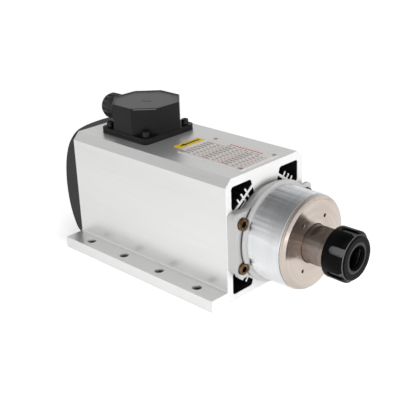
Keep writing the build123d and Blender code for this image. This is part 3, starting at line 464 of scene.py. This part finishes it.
finish["redRule"] = printedFilm("redPlateInk", {
    "light": (0.68, 0.17, 0.12), "dark": (0.55, 0.12, 0.08), "metallic": 0.0, "rough": 0.5, "coat": 0.0,
    "waveScale": 90.0, "waveDepth": 0.00005, "dotScale": 1600.0,
})
finish["rivet"] = wornMetal("plainRivetAluminium", {
    "light": (0.62, 0.62, 0.63), "dark": (0.46, 0.46, 0.47), "bare": (0.8, 0.8, 0.8), "wear": 0.5,
    "metallic": 1.0, "rough": 0.35, "edgeRadius": 0.0003, "cloudScale": 300.0, "fineScale": 2500.0,
    "fineDepth": 0.00001,
})


def shaderOf(material):
    return next(step for step in material.node_tree.nodes if step.type == "BSDF_PRINCIPLED")


# parts of a piece with another colour, roughness and metallic level: boxes and tubes, in millimetres from
# the middle of the shaft's axis
regionWork = [
    # the extrusion's channels painted near black, as the shade deep inside them, then its milled end
    ("body", insideBox, ((-94.4, -41.8, -48.0), (94.4, 41.8, 48.0)), (0.03, 0.03, 0.03), 0.6, None),
    ("body", insideBox, ((94.6, -80.0, -60.0), (96.0, 80.0, 60.0)), (0.76, 0.76, 0.755), 0.5, 0.08),
    # the flange of the bell, the floors of the nut's slots, the wall of the taper and the panel in the lid
    ("bell", insideBox, ((80.0, -60.0, -60.0), (109.2, 60.0, 60.0)), (0.62, 0.62, 0.615), 0.42, 0.55),
    ("nut", insideTube, (170.0, 185.4, 17.9, 18.65), (0.12, 0.12, 0.125), 0.42, None),
    # the wall of the taper is painted dark, as the shade inside its bore
    ("shaft", insideTube, (130.0, 179.8, 4.0, 13.2), (0.035, 0.033, 0.032), 0.3, None),
    # the lid's panel is rougher, and its lighter colour is a painted sheen standing in for the reflection on
    # the top
    ("hood", insideBox, ((-74.0, -28.3, 83.4), (-17.2, 28.3, 84.2)), (0.11, 0.11, 0.113), 0.42, None),
]
for finishName, region, place, color, rough, metallic in regionWork:
    tree = finish[finishName].node_tree
    tintPart(tree, shaderOf(finish[finishName]), region(tree, *place), color, rough, metallic)

# how far the painted shade reaches from a corner, in metres, and how dark it gets
paintedShadeWork = {"body": (0.014, 1.0), "bell": (0.006, 0.7), "disc": (0.004, 0.9)}
# painted shade in the hollows of the body, bell and disc
for finishName, (distance, depth) in paintedShadeWork.items():
    paintedShadePart(finish[finishName].node_tree, shaderOf(finish[finishName]), distance, depth)

nodeFinish = {
    "body_extrusion": "body", "front_bell": "bell", "front_bell_screws": "bronzeScrew",
    "bearing_retainer": "disc", "bearing_outer_races": "race", "bearing_inner_races": "race",
    "front_balls": "race", "front_cages": "cage", "rear_balls": "race", "rear_cage": "cage",
    "bearing_lock_nut": "shaft", "shaft": "shaft", "rotor_core": "core", "rotor_end_rings": "castAluminium",
    "shaft_retaining_ring": "spring", "fan_impeller": "fan", "fan_retaining_ring": "spring",
    "rear_bell": "bell", "rear_bell_screws": "blackScrew", "preload_spring": "spring", "fan_cover": "cover",
    "fan_cover_screws": "blackScrew", "stator_core": "core", "stator_windings": "copper",
    "terminal_box_base": "hood", "box_gasket": "rubber", "terminal_box_hood": "hood",
    "box_screws": "blackScrew", "terminal_block": "terminalBlock", "terminal_studs": "brass",
    "lead_wires": "lead",
    "earth_screw": "bronzeScrew", "gland_body": "gland", "gland_lock_nut": "gland", "gland_seal": "rubber",
    "gland_nut": "gland", "rating_plate": "plate", "plate_rivets": "rivet", "rotation_label": "label",
    "collet_nut": "nut", "collet_nut_ring": "ring",
}
for nodeName, finishName in nodeFinish.items():
    held = nodes[nodeName].data.materials
    held.clear()
    held.append(finish[finishName])
print("materials on", len(nodeFinish), "nodes")


def appliedPiece(piece):
    # modifiers become plain geometry
    bpy.context.view_layer.update()
    graph = bpy.context.evaluated_depsgraph_get()
    mesh = bpy.data.meshes.new_from_object(piece.evaluated_get(graph))
    piece.modifiers.clear()
    piece.data = mesh
    return piece


bodyOf = {name: body for body, members in frame["record"]["behaviour"]["bodies"].items() for name in members}


def edgedCopy(nodeName, name, width, segments=2, sharpFrom=28.0):
    # the node's own shape with its edges broken
    work = bmesh.new()
    work.from_mesh(nodes[nodeName].data)
    bmesh.ops.remove_doubles(work, verts=work.verts, dist=2e-6)
    bmesh.ops.dissolve_degenerate(work, dist=1e-6, edges=work.edges)
    bmesh.ops.dissolve_limit(work, angle_limit=math.radians(0.4), verts=work.verts, edges=work.edges)
    mesh = bpy.data.meshes.new(name)
    work.to_mesh(mesh)
    work.free()
    mesh.materials.append(finish[nodeFinish[nodeName]])
    piece = bpy.data.objects.new(name, mesh)
    bpy.context.scene.collection.objects.link(piece)
    edge = piece.modifiers.new("brokenEdges", "BEVEL")
    edge.width = width
    edge.segments = segments
    edge.limit_method = "ANGLE"
    edge.angle_limit = math.radians(sharpFrom)
    edge.harden_normals = True
    edge.use_clamp_overlap = True
    appliedPiece(piece)
    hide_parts(nodeName)
    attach(piece, bodyOf[nodeName])


edgeWork = {
    "body_extrusion": 0.35 * mm, "front_bell": 0.35 * mm, "bearing_retainer": 0.2 * mm,
    "collet_nut": 0.35 * mm,
    "terminal_box_hood": 0.45 * mm, "terminal_box_base": 0.3 * mm, "fan_cover": 0.4 * mm,
    "gland_nut": 0.25 * mm, "shaft": 0.15 * mm, "gland_body": 0.3 * mm, "rating_plate": 0.08 * mm,
    "fan_impeller": 0.2 * mm, "rear_bell": 0.3 * mm,
}
for nodeName, width in edgeWork.items():
    edgedCopy(nodeName, nodeName + "_edged", width)
print("edges broken on", len(edgeWork), "pieces")


def newTree(name, labels):
    # a node group with its inputs in the order that they are given
    tree = bpy.data.node_groups.new(name, "GeometryNodeTree")
    sockets = tree.interface
    sockets.new_socket("Geometry", in_out="INPUT", socket_type="NodeSocketGeometry")
    for label, kind in labels:
        sockets.new_socket(label, in_out="INPUT", socket_type="NodeSocket" + kind)
    sockets.new_socket("Geometry", in_out="OUTPUT", socket_type="NodeSocketGeometry")
    return tree, tree.nodes.new("NodeGroupInput").outputs, tree.nodes.new("NodeGroupOutput").inputs


def finishTree(tree, given, result, copies):
    # copies become one plain mesh, are set in place and get their finish
    realize = tree.nodes.new("GeometryNodeRealizeInstances")
    tree.links.new(copies, realize.inputs[0])
    place = tree.nodes.new("GeometryNodeTransform")
    tree.links.new(realize.outputs[0], place.inputs["Geometry"])
    tree.links.new(given["Middle"], place.inputs["Translation"])
    tree.links.new(given["Turn"], place.inputs["Rotation"])
    paint = tree.nodes.new("GeometryNodeSetMaterial")
    tree.links.new(place.outputs[0], paint.inputs["Geometry"])
    tree.links.new(given["Finish"], paint.inputs["Material"])
    tree.links.new(paint.outputs[0], result[0])


def makeGridTree():
    # rows and columns of one piece, each turned on its own axis by chance
    tree, given, result = newTree("gridOfPieces", [
        ("Span One", "Float"), ("Span Two", "Float"), ("Columns", "Int"), ("Rows", "Int"),
        ("Own Turn", "Float"), ("Seed", "Int"), ("Middle", "Vector"), ("Turn", "Vector"),
        ("Finish", "Material")])
    grid = tree.nodes.new("GeometryNodeMeshGrid")
    gridSockets = {"Span One": "Size X", "Span Two": "Size Y", "Columns": "Vertices X", "Rows": "Vertices Y"}
    for label, socket in gridSockets.items():
        tree.links.new(given[label], grid.inputs[socket])
    chance = tree.nodes.new("FunctionNodeRandomValue")
    tree.links.new(given["Own Turn"], chance.inputs["Max"])
    tree.links.new(given["Seed"], chance.inputs["Seed"])
    turn = tree.nodes.new("ShaderNodeCombineXYZ")
    tree.links.new(next(out for out in chance.outputs if out.enabled), turn.inputs["Z"])
    copies = tree.nodes.new("GeometryNodeInstanceOnPoints")
    tree.links.new(grid.outputs["Mesh"], copies.inputs["Points"])
    tree.links.new(given["Geometry"], copies.inputs["Instance"])
    tree.links.new(turn.outputs[0], copies.inputs["Rotation"])
    finishTree(tree, given, result, copies.outputs[0])
    return tree


def makeRingTree():
    # one piece copied round a circle, its X side facing out
    tree, given, result = newTree("ringOfPieces", [
        ("Count", "Int"), ("Radius", "Float"), ("Middle", "Vector"), ("Turn", "Vector"),
        ("Finish", "Material")])
    circle = tree.nodes.new("GeometryNodeMeshCircle")
    tree.links.new(given["Count"], circle.inputs["Vertices"])
    tree.links.new(given["Radius"], circle.inputs["Radius"])
    step = math1(tree, "DIVIDE", 2 * math.pi, given["Count"])
    index = tree.nodes.new("GeometryNodeInputIndex")
    turn = tree.nodes.new("ShaderNodeCombineXYZ")
    tree.links.new(math1(tree, "MULTIPLY", step, index.outputs[0]), turn.inputs["Z"])
    copies = tree.nodes.new("GeometryNodeInstanceOnPoints")
    tree.links.new(circle.outputs["Mesh"], copies.inputs["Points"])
    tree.links.new(given["Geometry"], copies.inputs["Instance"])
    tree.links.new(turn.outputs[0], copies.inputs["Rotation"])
    finishTree(tree, given, result, copies.outputs[0])
    return tree


def grownPiece(name, mesh, tree, values, smoothAngle=30.0):
    # runs a node group on a mesh and keeps what it makes as plain geometry
    piece = bpy.data.objects.new(name, mesh)
    bpy.context.scene.collection.objects.link(piece)
    growth = piece.modifiers.new("growth", "NODES")
    growth.node_group = tree
    for entry in tree.interface.items_tree:
        if entry.in_out == "INPUT" and entry.name in values:
            growth[entry.identifier] = values[entry.name]
    appliedPiece(piece)
    for face in piece.data.polygons:
        face.use_smooth = True
    piece.data.set_sharp_from_angle(angle=math.radians(smoothAngle))
    return piece


def latheMesh(name, rings, sides, hexFrom=None, hexTurn=0.0):
    # closed mesh of rings (height, radius, fluting); rings from hexFrom on are six-sided
    points = [(0.0, 0.0, rings[0][0])]
    for index, (height, radius, flute) in enumerate(rings):
        for side in range(sides):
            angle = 2 * math.pi * side / sides
            reach = radius - (flute if side % 2 else 0.0)
            if hexFrom is not None and index >= hexFrom:
                flat = (angle + math.pi / 6) % (math.pi / 3) - math.pi / 6
                reach = radius / math.cos(flat)
            points.append((reach * math.cos(angle), reach * math.sin(angle), height))
    points.append((0.0, 0.0, rings[-1][0] - rings[-1][1] * 0.25 if hexFrom is not None else rings[-1][0]))
    faces = [(0, 1 + (side + 1) % sides, 1 + side) for side in range(sides)]
    for index in range(len(rings) - 1):
        low = 1 + index * sides
        for side in range(sides):
            beside = (side + 1) % sides
            faces.append((low + side, low + beside, low + sides + beside, low + sides + side))
    last = 1 + (len(rings) - 1) * sides
    faces += [(last + side, last + (side + 1) % sides, len(points) - 1) for side in range(sides)]
    mesh = bpy.data.meshes.new(name)
    mesh.from_pydata(points, [], faces)
    return mesh


def capScrewMesh(name, look):
    # socket cap screw that stands on z = 0, its shank below, with turned thread, knurl and hex socket
    radius, head, height = look["radius"], look["headRadius"], look["headHeight"]
    pitch, length, soft = look["pitch"], look["length"], look["soft"]
    groove = pitch * 0.5
    rings = [(-length, radius - groove, 0.0)]
    turns = int((length - look["plain"]) / pitch)
    for turn in range(turns):
        base = -length + turn * pitch
        rings += [(base + pitch * 0.15, radius - groove, 0.0), (base + pitch * 0.45, radius, 0.0),
                  (base + pitch * 0.65, radius, 0.0), (base + pitch * 0.95, radius - groove, 0.0)]
    rings += [(-length + turns * pitch + pitch * 0.3, radius, 0.0), (0.0, radius, 0.0)]
    knurl = look["knurl"]
    rings += [(0.0, head - soft, 0.0), (soft * 0.6, head - knurl * 0.2, 0.0), (soft, head, knurl),
              (height - soft * 1.6, head, knurl), (height - soft, head - knurl * 0.2, 0.0),
              (height - soft * 0.3, head - soft * 0.5, 0.0), (height, head - soft * 1.2, 0.0)]
    rings += [(height, look["socket"] * 1.22, 0.0)]
    hexFrom = len(rings)
    rings += [(height - soft * 0.5, look["socket"], 0.0),
              (height - look["socketDepth"], look["socket"], 0.0)]
    return latheMesh(name, rings, 72, hexFrom)


def rivetMesh(name, look):
    # domed rivet that stands on z = 0, its shank below
    radius, head, bottom = look["radius"], look["headRadius"], -look["length"]
    rings = [(bottom, radius * 0.8, 0.0), (bottom + radius * 0.3, radius, 0.0),
             (0.0, radius, 0.0), (0.0, head, 0.0), (look["rim"], head, 0.0)]
    domeSteps = 9
    for step in range(1, domeSteps):
        share = step / domeSteps * math.pi / 2
        rings.append((look["rim"] + (look["headHeight"] - look["rim"]) * math.sin(share),
                      head * math.cos(share), 0.0))
    return latheMesh(name, rings, 48)


gridTree = makeGridTree()
ringTree = makeRingTree()
forward = (0.0, math.pi / 2, 0.0)
backward = (0.0, -math.pi / 2, 0.0)
upright = (0.0, 0.0, 0.0)

ownTurn = 1.0  # largest turn of a screw or rivet about its own axis, in radians

# screws: sizes of one, then the spans between their rows and columns
screwWork = {
    "front_bell_screws": {
        "finish": "bronzeScrew", "radius": 3.0, "headRadius": 5.0, "headHeight": 6.0, "length": 18.0,
        "plain": 7.0, "pitch": 1.0, "knurl": 0.12, "soft": 0.5, "socket": 2.5, "socketDepth": 3.2,
        "spans": (39.4, 82.4), "middle": (102.0, 0.0, 53.5), "turn": forward,
    },
    "rear_bell_screws": {
        "finish": "blackScrew", "radius": 2.5, "headRadius": 4.2, "headHeight": 5.0, "length": 14.0,
        "plain": 4.0, "pitch": 0.8, "knurl": 0.12, "soft": 0.45, "socket": 2.0, "socketDepth": 2.6,
        "spans": (30.0, 77.0), "middle": (-101.0, 0.0, 53.5), "turn": backward,
    },
    "box_screws": {
        "finish": "blackScrew", "radius": 2.0, "headRadius": 3.2, "headHeight": 4.6, "length": 11.6,
        "plain": 4.0, "pitch": 0.7, "knurl": 0.1, "soft": 0.4, "socket": 1.5, "socketDepth": 2.2,
        "spans": (48.0, 48.0), "middle": (-45.5, 0.0, 114.1), "turn": upright,
    },
}


def placeGrid(nodeName, mesh, look, columns, rows, seed):
    piece = grownPiece(nodeName + "_detailed", mesh, gridTree, {
        "Span One": look["spans"][0] * mm, "Span Two": look["spans"][1] * mm, "Columns": columns,
        "Rows": rows, "Own Turn": ownTurn, "Seed": seed, "Middle": [v * mm for v in look["middle"]],
        "Turn": look["turn"], "Finish": finish[look["finish"]]})
    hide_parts(nodeName)
    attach(piece, bodyOf[nodeName])


for seed, (nodeName, look) in enumerate(screwWork.items()):
    sizes = ("radius", "headRadius", "headHeight", "length", "plain", "pitch", "knurl", "soft", "socket",
             "socketDepth")
    mesh = capScrewMesh(nodeName + "_one", {size: look[size] * mm for size in sizes})
    placeGrid(nodeName, mesh, look, 2, 2, seed + 3)

rivetWork = {
    "finish": "rivet", "radius": 1.1, "headRadius": 1.9, "headHeight": 0.8, "length": 4.5, "rim": 0.12,
    "spans": (66.6, 41.6), "middle": (53.5, 0.0, 109.0), "turn": upright,
}
rivetSizes = ("radius", "headRadius", "headHeight", "length", "rim")
rivet = rivetMesh("plate_rivet_one", {size: rivetWork[size] * mm for size in rivetSizes})
placeGrid("plate_rivets", rivet, rivetWork, 2, 2, 11)
print("screws and rivets set")


# winding heads: rings of coils, each an arch of bundled wire, in place of the plain wound rings
windingWork = {
    "inner": 21.5, "outer": 31.5, "length": 20.0, "coils": 24, "reach": 0.82, "bundle": 2.1, "strands": 7,
    "strandDepth": 0.07, "headroom": 0.4, "fill": 0.85, "lean": 0.95, "squareness": 0.45,
    "ends": ((60.0, forward), (-48.0, backward)), "axis": 53.5, "steps": 26, "sides": 28,
}


def coilMesh(look):
    # closed tube along an arch that leaves the core at one angle, crosses over and returns at another
    middle = (look["inner"] + look["outer"]) / 2
    bundle, deep = look["bundle"], (look["outer"] - look["inner"]) / 2 - look["bundle"]
    points, faces = [], []
    steps, sides = look["steps"], look["sides"]
    for step in range(steps + 1):
        share = step / steps
        swing = (share - 0.5) * look["reach"]
        lift = math.sin(math.pi * share) ** look["squareness"]
        height = -look["length"] / 2 + bundle + (look["length"] - 2 * bundle - look["headroom"]) * lift
        centre = Vector((middle + deep * look["fill"] * math.cos(math.pi * share), 0.0, height))
        turn = Matrix.Rotation(swing, 3, "Z")
        out, up = Vector((1, 0, 0)), Vector((0, 0, 1))
        lean = math.pi * (share - 0.5) * look["lean"]
        side = up * math.cos(lean) - Vector((0, 1, 0)) * math.sin(lean)
        for k in range(sides):
            angle = 2 * math.pi * k / sides
            depth = look["strandDepth"]
            size = bundle * (1 - depth + depth * math.cos(look["strands"] * angle))
            spot = centre + out * size * math.cos(angle) + side * size * math.sin(angle)
            points.append(turn @ spot * mm)
    for step in range(steps):
        for k in range(sides):
            low, beside = step * sides + k, step * sides + (k + 1) % sides
            faces.append((low, low + sides, beside + sides, beside))
    faces.append(tuple(range(sides)))
    faces.append(tuple(reversed(range(steps * sides, (steps + 1) * sides))))
    mesh = bpy.data.meshes.new("coilMesh")
    mesh.from_pydata(points, [], faces)
    shape = bmesh.new()
    shape.from_mesh(mesh)
    bmesh.ops.recalc_face_normals(shape, faces=shape.faces)
    shape.to_mesh(mesh)
    shape.free()
    return mesh


heads = []
for end, (x, turn) in enumerate(windingWork["ends"]):
    heads.append(grownPiece("winding_head_%d" % (end + 1), coilMesh(windingWork), ringTree, {
        "Count": windingWork["coils"], "Radius": 0.0, "Middle": (x * mm, 0.0, windingWork["axis"] * mm),
        "Turn": turn, "Finish": finish["copper"]}))
    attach(heads[-1], bodyOf["stator_windings"])
for head in heads:
    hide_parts("stator_windings")
print("winding heads laid")


def slabMesh(name, outline, thickness):
    # closed slab over a flat outline, standing on z = 0
    count = len(outline)
    points = [(x, y, 0.0) for x, y in outline] + [(x, y, thickness) for x, y in outline]
    faces = [tuple(range(count, 2 * count)), tuple(reversed(range(count)))]
    faces += [(i, (i + 1) % count, count + (i + 1) % count, count + i) for i in range(count)]
    mesh = bpy.data.meshes.new(name)
    mesh.from_pydata(points, [], faces)
    return mesh


def layPrint(name, mesh, values):
    piece = grownPiece(name, mesh, gridTree, dict(values, Seed=1))
    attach(piece, "housing")


# printing on the plate in place of words: middle, size of one bar, columns and rows with their spans, ink
printTop = 109.0
printThickness = 0.03
printWork = {
    "plate_header": ((59.0, 17.2), (2.2, 2.4), (11, 34.0), (1, 0.0), "redRule"),
    "plate_header_note": ((59.0, 13.4), (4.6, 0.8), (6, 32.0), (1, 0.0), "rule"),
    "plate_lines": ((53.5, -5.2), (66.0, 0.22), (1, 0.0), (9, 33.0), "rule"),
    "plate_side_lines": ((53.5, -5.2), (0.22, 33.2), (4, 66.0), (1, 0.0), "rule"),
    "plate_words": ((46.6, -5.2), (8.0, 1.1), (3, 44.0), (8, 28.9), "rule"),
    "plate_short_words": ((55.6, -5.2), (4.0, 0.9), (3, 44.0), (8, 28.9), "rule"),
    "plate_red_words": ((61.0, -5.2), (3.0, 0.9), (3, 44.0), (8, 28.9), "redRule"),
}
for printName, (middle, size, columns, rows, ink) in printWork.items():
    x, y = size[0] / 2 * mm, size[1] / 2 * mm
    bar = slabMesh(printName + "_one", [(-x, -y), (x, -y), (x, y), (-x, y)], printThickness * mm)
    layPrint(printName, bar, {
        "Span One": columns[1] * mm, "Span Two": rows[1] * mm, "Columns": columns[0], "Rows": rows[0],
        "Middle": (middle[0] * mm, middle[1] * mm, printTop * mm), "Finish": finish[ink]})
print("plate printed")

arrowWork = {
    "middle": (9.0, -1.0, 108.7), "length": 24.0, "headLength": 7.0, "headWidth": 5.4, "stem": 2.4,
    "barb": 0.9, "thickness": 0.03,
}
tail, half = arrowWork["length"] / 2, arrowWork["headWidth"] / 2
neck, stem = -tail + arrowWork["headLength"], arrowWork["stem"] / 2
barb = neck * arrowWork["barb"]
outline = [
    (0.0, -tail), (half, neck), (stem, barb), (stem, tail), (-stem, tail), (-stem, barb), (-half, neck)]
arrow = slabMesh("arrowSlab", [(x * mm, y * mm) for x, y in outline], arrowWork["thickness"] * mm)
layPrint("label_arrow", arrow, {
    "Columns": 1, "Rows": 1, "Middle": [v * mm for v in arrowWork["middle"]], "Finish": finish["ink"]})
print("arrow laid")

# plain raised lozenge in the middle of the hood's lid
lozengeWork = {"middle": (-45.5, 0.0, 137.3), "half": (7.0, 4.4), "height": 0.45, "edge": 0.9}


def lozengeMesh(look):
    # four diamond outlines, one over another: a wall, a bevel and a shallow dish in the top
    layers = [(0.0, 0.0), (0.0, look["height"] * 0.6), (look["edge"], look["height"]),
              (look["edge"] * 2, look["height"] * 0.7)]
    corners = [(1, 0), (0, 1), (-1, 0), (0, -1)]
    wide, deep = look["half"]
    points = []
    for inset, height in layers:
        share = 1 - inset / deep
        points += [(x * wide * share * mm, y * deep * share * mm, height * mm) for x, y in corners]
    faces = [(3, 2, 1, 0), (12, 13, 14, 15)]
    for k in range(len(layers) - 1):
        low = 4 * k
        faces += [(low + i, low + (i + 1) % 4, low + 4 + (i + 1) % 4, low + 4 + i) for i in range(4)]
    mesh = bpy.data.meshes.new("lozengeMesh")
    mesh.from_pydata(points, [], faces)
    return mesh


layPrint("hood_lozenge", lozengeMesh(lozengeWork), {
    "Columns": 1, "Rows": 1, "Middle": [v * mm for v in lozengeWork["middle"]], "Finish": finish["hood"]})
print("lozenge set")


# light and floor
studio = {
    "floorColor": (0.86, 0.86, 0.86), "floorHalf": 6.0, "floorDrop": 0.0002,
    # glow that the camera sees: it grows with distance, where the lamps don't reach
    "floorSeen": 0.62, "farSeen": 1.0, "farFrom": 0.5, "farTo": 1.4,
    "floorMirrored": 0.34,  # glow that reflections see
    "skyLow": 1.0, "skyHigh": 0.15,  # a soft studio: white round the horizon, dimmer overhead
    "skyDiffuse": 0.42,  # share of it that lights the surfaces
}


def makeFloor():
    mesh = bpy.data.meshes.new("floor")
    half = studio["floorHalf"]
    corners = [(-half, -half, 0), (half, -half, 0), (half, half, 0), (-half, half, 0)]
    mesh.from_pydata(corners, [], [(0, 1, 2, 3)])
    floor = bpy.data.objects.new("floor", mesh)
    floor.location.z = -studio["floorDrop"]
    bpy.context.scene.collection.objects.link(floor)
    material = bpy.data.materials.new("paleFloor")
    material.use_nodes = True
    tree = material.node_tree
    tree.nodes.clear()
    output = tree.nodes.new("ShaderNodeOutputMaterial")
    paint = tree.nodes.new("ShaderNodeBsdfDiffuse")
    glow = tree.nodes.new("ShaderNodeEmission")
    rays = tree.nodes.new("ShaderNodeLightPath")
    paint.inputs["Color"].default_value = (*studio["floorColor"], 1.0)
    fromMiddle = vector1(tree, "LENGTH", objectPoint(tree))
    floorGlow = spread(tree, fromMiddle, studio["floorSeen"], studio["farSeen"], studio["farFrom"],
                       studio["farTo"])
    seen = math1(tree, "MULTIPLY", rays.outputs["Is Camera Ray"], floorGlow)
    mirrored = math1(tree, "MULTIPLY", rays.outputs["Is Glossy Ray"], studio["floorMirrored"])
    tree.links.new(math1(tree, "ADD", seen, mirrored), glow.inputs["Strength"])
    both = tree.nodes.new("ShaderNodeAddShader")
    tree.links.new(paint.outputs[0], both.inputs[0])
    tree.links.new(glow.outputs[0], both.inputs[1])
    tree.links.new(both.outputs[0], output.inputs["Surface"])
    mesh.materials.append(material)


def makeSky():
    world = bpy.data.worlds.new("studioSky")
    bpy.context.scene.world = world
    world.use_nodes = True
    tree = world.node_tree
    tree.nodes.clear()
    output = tree.nodes.new("ShaderNodeOutputWorld")
    paint = tree.nodes.new("ShaderNodeBackground")
    direction = tree.nodes.new("ShaderNodeTexCoord")
    split = tree.nodes.new("ShaderNodeSeparateXYZ")
    tree.links.new(direction.outputs["Generated"], split.inputs[0])
    level = spread(tree, split.outputs["Z"], studio["skyLow"], studio["skyHigh"])
    rays = tree.nodes.new("ShaderNodeLightPath")
    share = spread(tree, rays.outputs["Is Glossy Ray"], studio["skyDiffuse"], 1.0)
    level = math1(tree, "MULTIPLY", level, share)
    strength = math1(tree, "MAXIMUM", level, rays.outputs["Is Camera Ray"])
    paint.inputs["Color"].default_value = (1.0, 1.0, 1.0, 1.0)
    tree.links.new(strength, paint.inputs["Strength"])
    tree.links.new(paint.outputs[0], output.inputs["Surface"])


def makeLamp(name, place, target, size, power):
    lamp = bpy.data.lights.new(name, "AREA")
    lamp.shape = "RECTANGLE"
    lamp.size, lamp.size_y = size
    lamp.energy = power
    holder = bpy.data.objects.new(name, lamp)
    holder.location = place
    holder.rotation_euler = (Vector(target) - Vector(place)).to_track_quat("-Z", "Y").to_euler()
    holder.visible_glossy = False
    bpy.context.scene.collection.objects.link(holder)


lamps = {
    "sideSoftbox": {"place": (-0.25, -1.6, 0.35), "target": (0, 0, 0.05), "size": (1.6, 0.8), "power": 12.5},
    "frontSoftbox": {
        "place": (1.4, -0.3, 0.3), "target": (0.05, 0, 0.05), "size": (0.9, 0.6), "power": 18.0},
    "topSoftbox": {"place": (0.3, 0.1, 1.5), "target": (0.05, 0, 0.1), "size": (0.8, 0.6), "power": 5.5},
}
makeFloor()
makeSky()
for lampName, lamp in lamps.items():
    makeLamp(lampName, **lamp)
print("floor and light set")

bpy.context.scene.view_settings.view_transform = "Standard"

bpy.context.view_layer.update()
